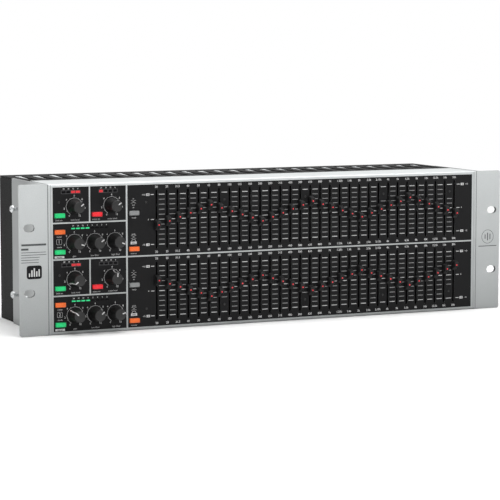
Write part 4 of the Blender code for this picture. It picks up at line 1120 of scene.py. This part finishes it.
def makeSeams():
    # rolled side edges of the panel, with a painted shadow line between panel and ear and a painted shade
    # line along each fold
    spec = {  # in mm; a line is (x, width, thickness)
        "seam": (215.3, 0.55, 0.04), "fold": (212.6, 0.35, 0.03), "edgeX": 214.35, "edge": (0.75, 0.35),
        "end": 0.4,
    }
    a = np.linspace(0, 2 * np.pi, 20, endpoint=False)
    z0, z1 = spec["end"] * mm, panelTop - spec["end"] * mm
    halfX, halfY = spec["edge"][0] * mm, spec["edge"][1] * mm
    edges = []
    for side in (-1, 1):
        x, y = side * spec["edgeX"] * mm + halfX * np.cos(a), frontY + halfY * np.sin(a)
        edges.append(closedRings(np.array([np.stack([x, y, np.full(20, z)], -1) for z in (z0, z1)])))
    addMesh("rolled_panel_edges", merge(edges), panelSilver, "root", 40)
    # painted shadow at the seams and painted shade along the folds
    lines = (
        ("ear_seams", "seam", darkInk, "black_steel"),
        ("panel_fold_lines", "fold", foldShade, "painted_silver"),
    )
    for name, key, ink, slot in lines:
        x, width, thick = spec[key]
        middles = [(side * x * mm, frontY - 0.01 * mm, panelTop / 2) for side in (-1, 1)]
        addMesh(name, boxes(middles, (width * mm, thick * mm, z1 - z0)), ink, "root")
    print("seams made")


def makeStage():
    stage = {
        "half": 60.0, "sink": 0.3 * mm, "colour": "#F4F4F4", "cloud": "#F8F8F8", "lift": 0.06,
        "fade": (0.45, 1.3), "worldLight": 0.28, "reflected": 0.85, "background": 1.0,
    }
    half = stage["half"]
    data = bpy.data.meshes.new("floor")
    corners = [(-half, -half, 0), (half, -half, 0), (half, half, 0), (-half, half, 0)]
    data.from_pydata(corners, [], [(0, 1, 2, 3)])
    floor = bpy.data.objects.new("floor", data)
    floor.location.z = -stage["sink"]
    material, tree = startMaterial("pale_floor_paint")
    place = addNode(tree, "TexCoord")
    cloud = addNode(tree, "TexNoise", {"Scale": 1.5, "Detail": 2.0}, {"Vector": (place, "Object")})
    colours = {6: fromHex(stage["colour"]), 7: fromHex(stage["cloud"])}
    tone = addNode(tree, "Mix", colours, {0: (cloud, "Fac")}, data_type="RGBA")
    near = addNode(
        tree, "BsdfPrincipled",
        {"Roughness": 0.9, "Specular IOR Level": 0.1, "Emission Strength": stage["lift"]},
        {"Base Color": (tone, 2), "Emission Color": (tone, 2)},
    )
    # away from the object the floor is a lit white sweep, so it has no horizon
    away = addNode(tree, "VectorMath", links={0: (place, "Object")}, operation="LENGTH")
    ends = dict(zip(("From Min", "From Max"), stage["fade"]))
    share = addNode(tree, "MapRange", ends, {"Value": (away, "Value")}, interpolation_type="SMOOTHSTEP")
    sweep = addNode(tree, "Emission", {"Strength": stage["background"]})
    shader = addNode(tree, "MixShader", links={0: (share, 0), 1: (near, 0), 2: (sweep, 0)})
    addNode(tree, "OutputMaterial", links={"Surface": (shader, 0)})
    data.materials.append(material)
    scene.collection.objects.link(floor)
    world = bpy.data.worlds.new("studio")
    world.use_nodes = True
    tree = world.node_tree
    tree.nodes.clear()
    sky, white, bright = [
        addNode(tree, "Background", {"Color": (1, 1, 1, 1), "Strength": stage[key]})
        for key in ("worldLight", "background", "reflected")
    ]
    path = addNode(tree, "LightPath")
    gloss = addNode(tree, "MixShader", links={0: (path, "Is Glossy Ray"), 1: (sky, 0), 2: (bright, 0)})
    mixed = addNode(tree, "MixShader", links={0: (path, "Is Camera Ray"), 1: (gloss, 0), 2: (white, 0)})
    addNode(tree, "OutputWorld", links={"Surface": (mixed, 0)})
    scene.world = world
    scene.view_settings.view_transform = "Standard"
    print("floor and world made")


def makeLights():
    lamps = {  # place, aim, size, power
        "top_softbox": ((0.1, -0.1, 1.9), (0, 0, 0), 1.8, 47),
        "front_softbox": ((0.2, -2.4, 1.6), (0, 0, 0.07), 1.2, 14),
    }
    for name, (place, aim, size, power) in lamps.items():
        data = bpy.data.lights.new(name, "AREA")
        data.shape = "SQUARE"
        data.size = size
        data.energy = power
        lamp = bpy.data.objects.new(name, data)
        lamp.location = place
        lamp.rotation_euler = (Vector(aim) - Vector(place)).to_track_quat("-Z", "Y").to_euler()
        scene.collection.objects.link(lamp)
    print("lights made")


def makeCamera():
    view = {  # degrees, metres and, for the lens, mm
        "azimuth": -24.4228, "elevation": 5.928, "distance": 1.87932, "right": -0.020209, "up": -0.000291,
        "lens": 147.92,
    }
    a, e = math.radians(view["azimuth"]), math.radians(view["elevation"])
    back = Vector((math.sin(a) * math.cos(e), -math.cos(a) * math.cos(e), math.sin(e)))
    right = Vector((math.cos(a), math.sin(a), 0))
    up = back.cross(right)
    target = Vector((0, frontY, panelTop / 2)) + right * view["right"] + up * view["up"]
    data = bpy.data.cameras.new("camera")
    data.lens = view["lens"]
    data.sensor_width = 36
    data.clip_start, data.clip_end = 0.05, 100
    camera = bpy.data.objects.new("camera", data)
    camera.location = target + back * view["distance"]
    camera.rotation_euler = (-back).to_track_quat("-Z", "Y").to_euler()
    scene.collection.objects.link(camera)
    scene.camera = camera
    print("camera made")


makeStage()
makeLights()
makeCamera()
dressNodes()
makeFields()
makeTicks()
makeLegends()
makeDials()
makeKnobs()
makeButtons()
makeLamps()
makeFaders()
makeScrews()
makeVentBlades()
makeRearFittings()
makeEarMarks()
makeSeams()
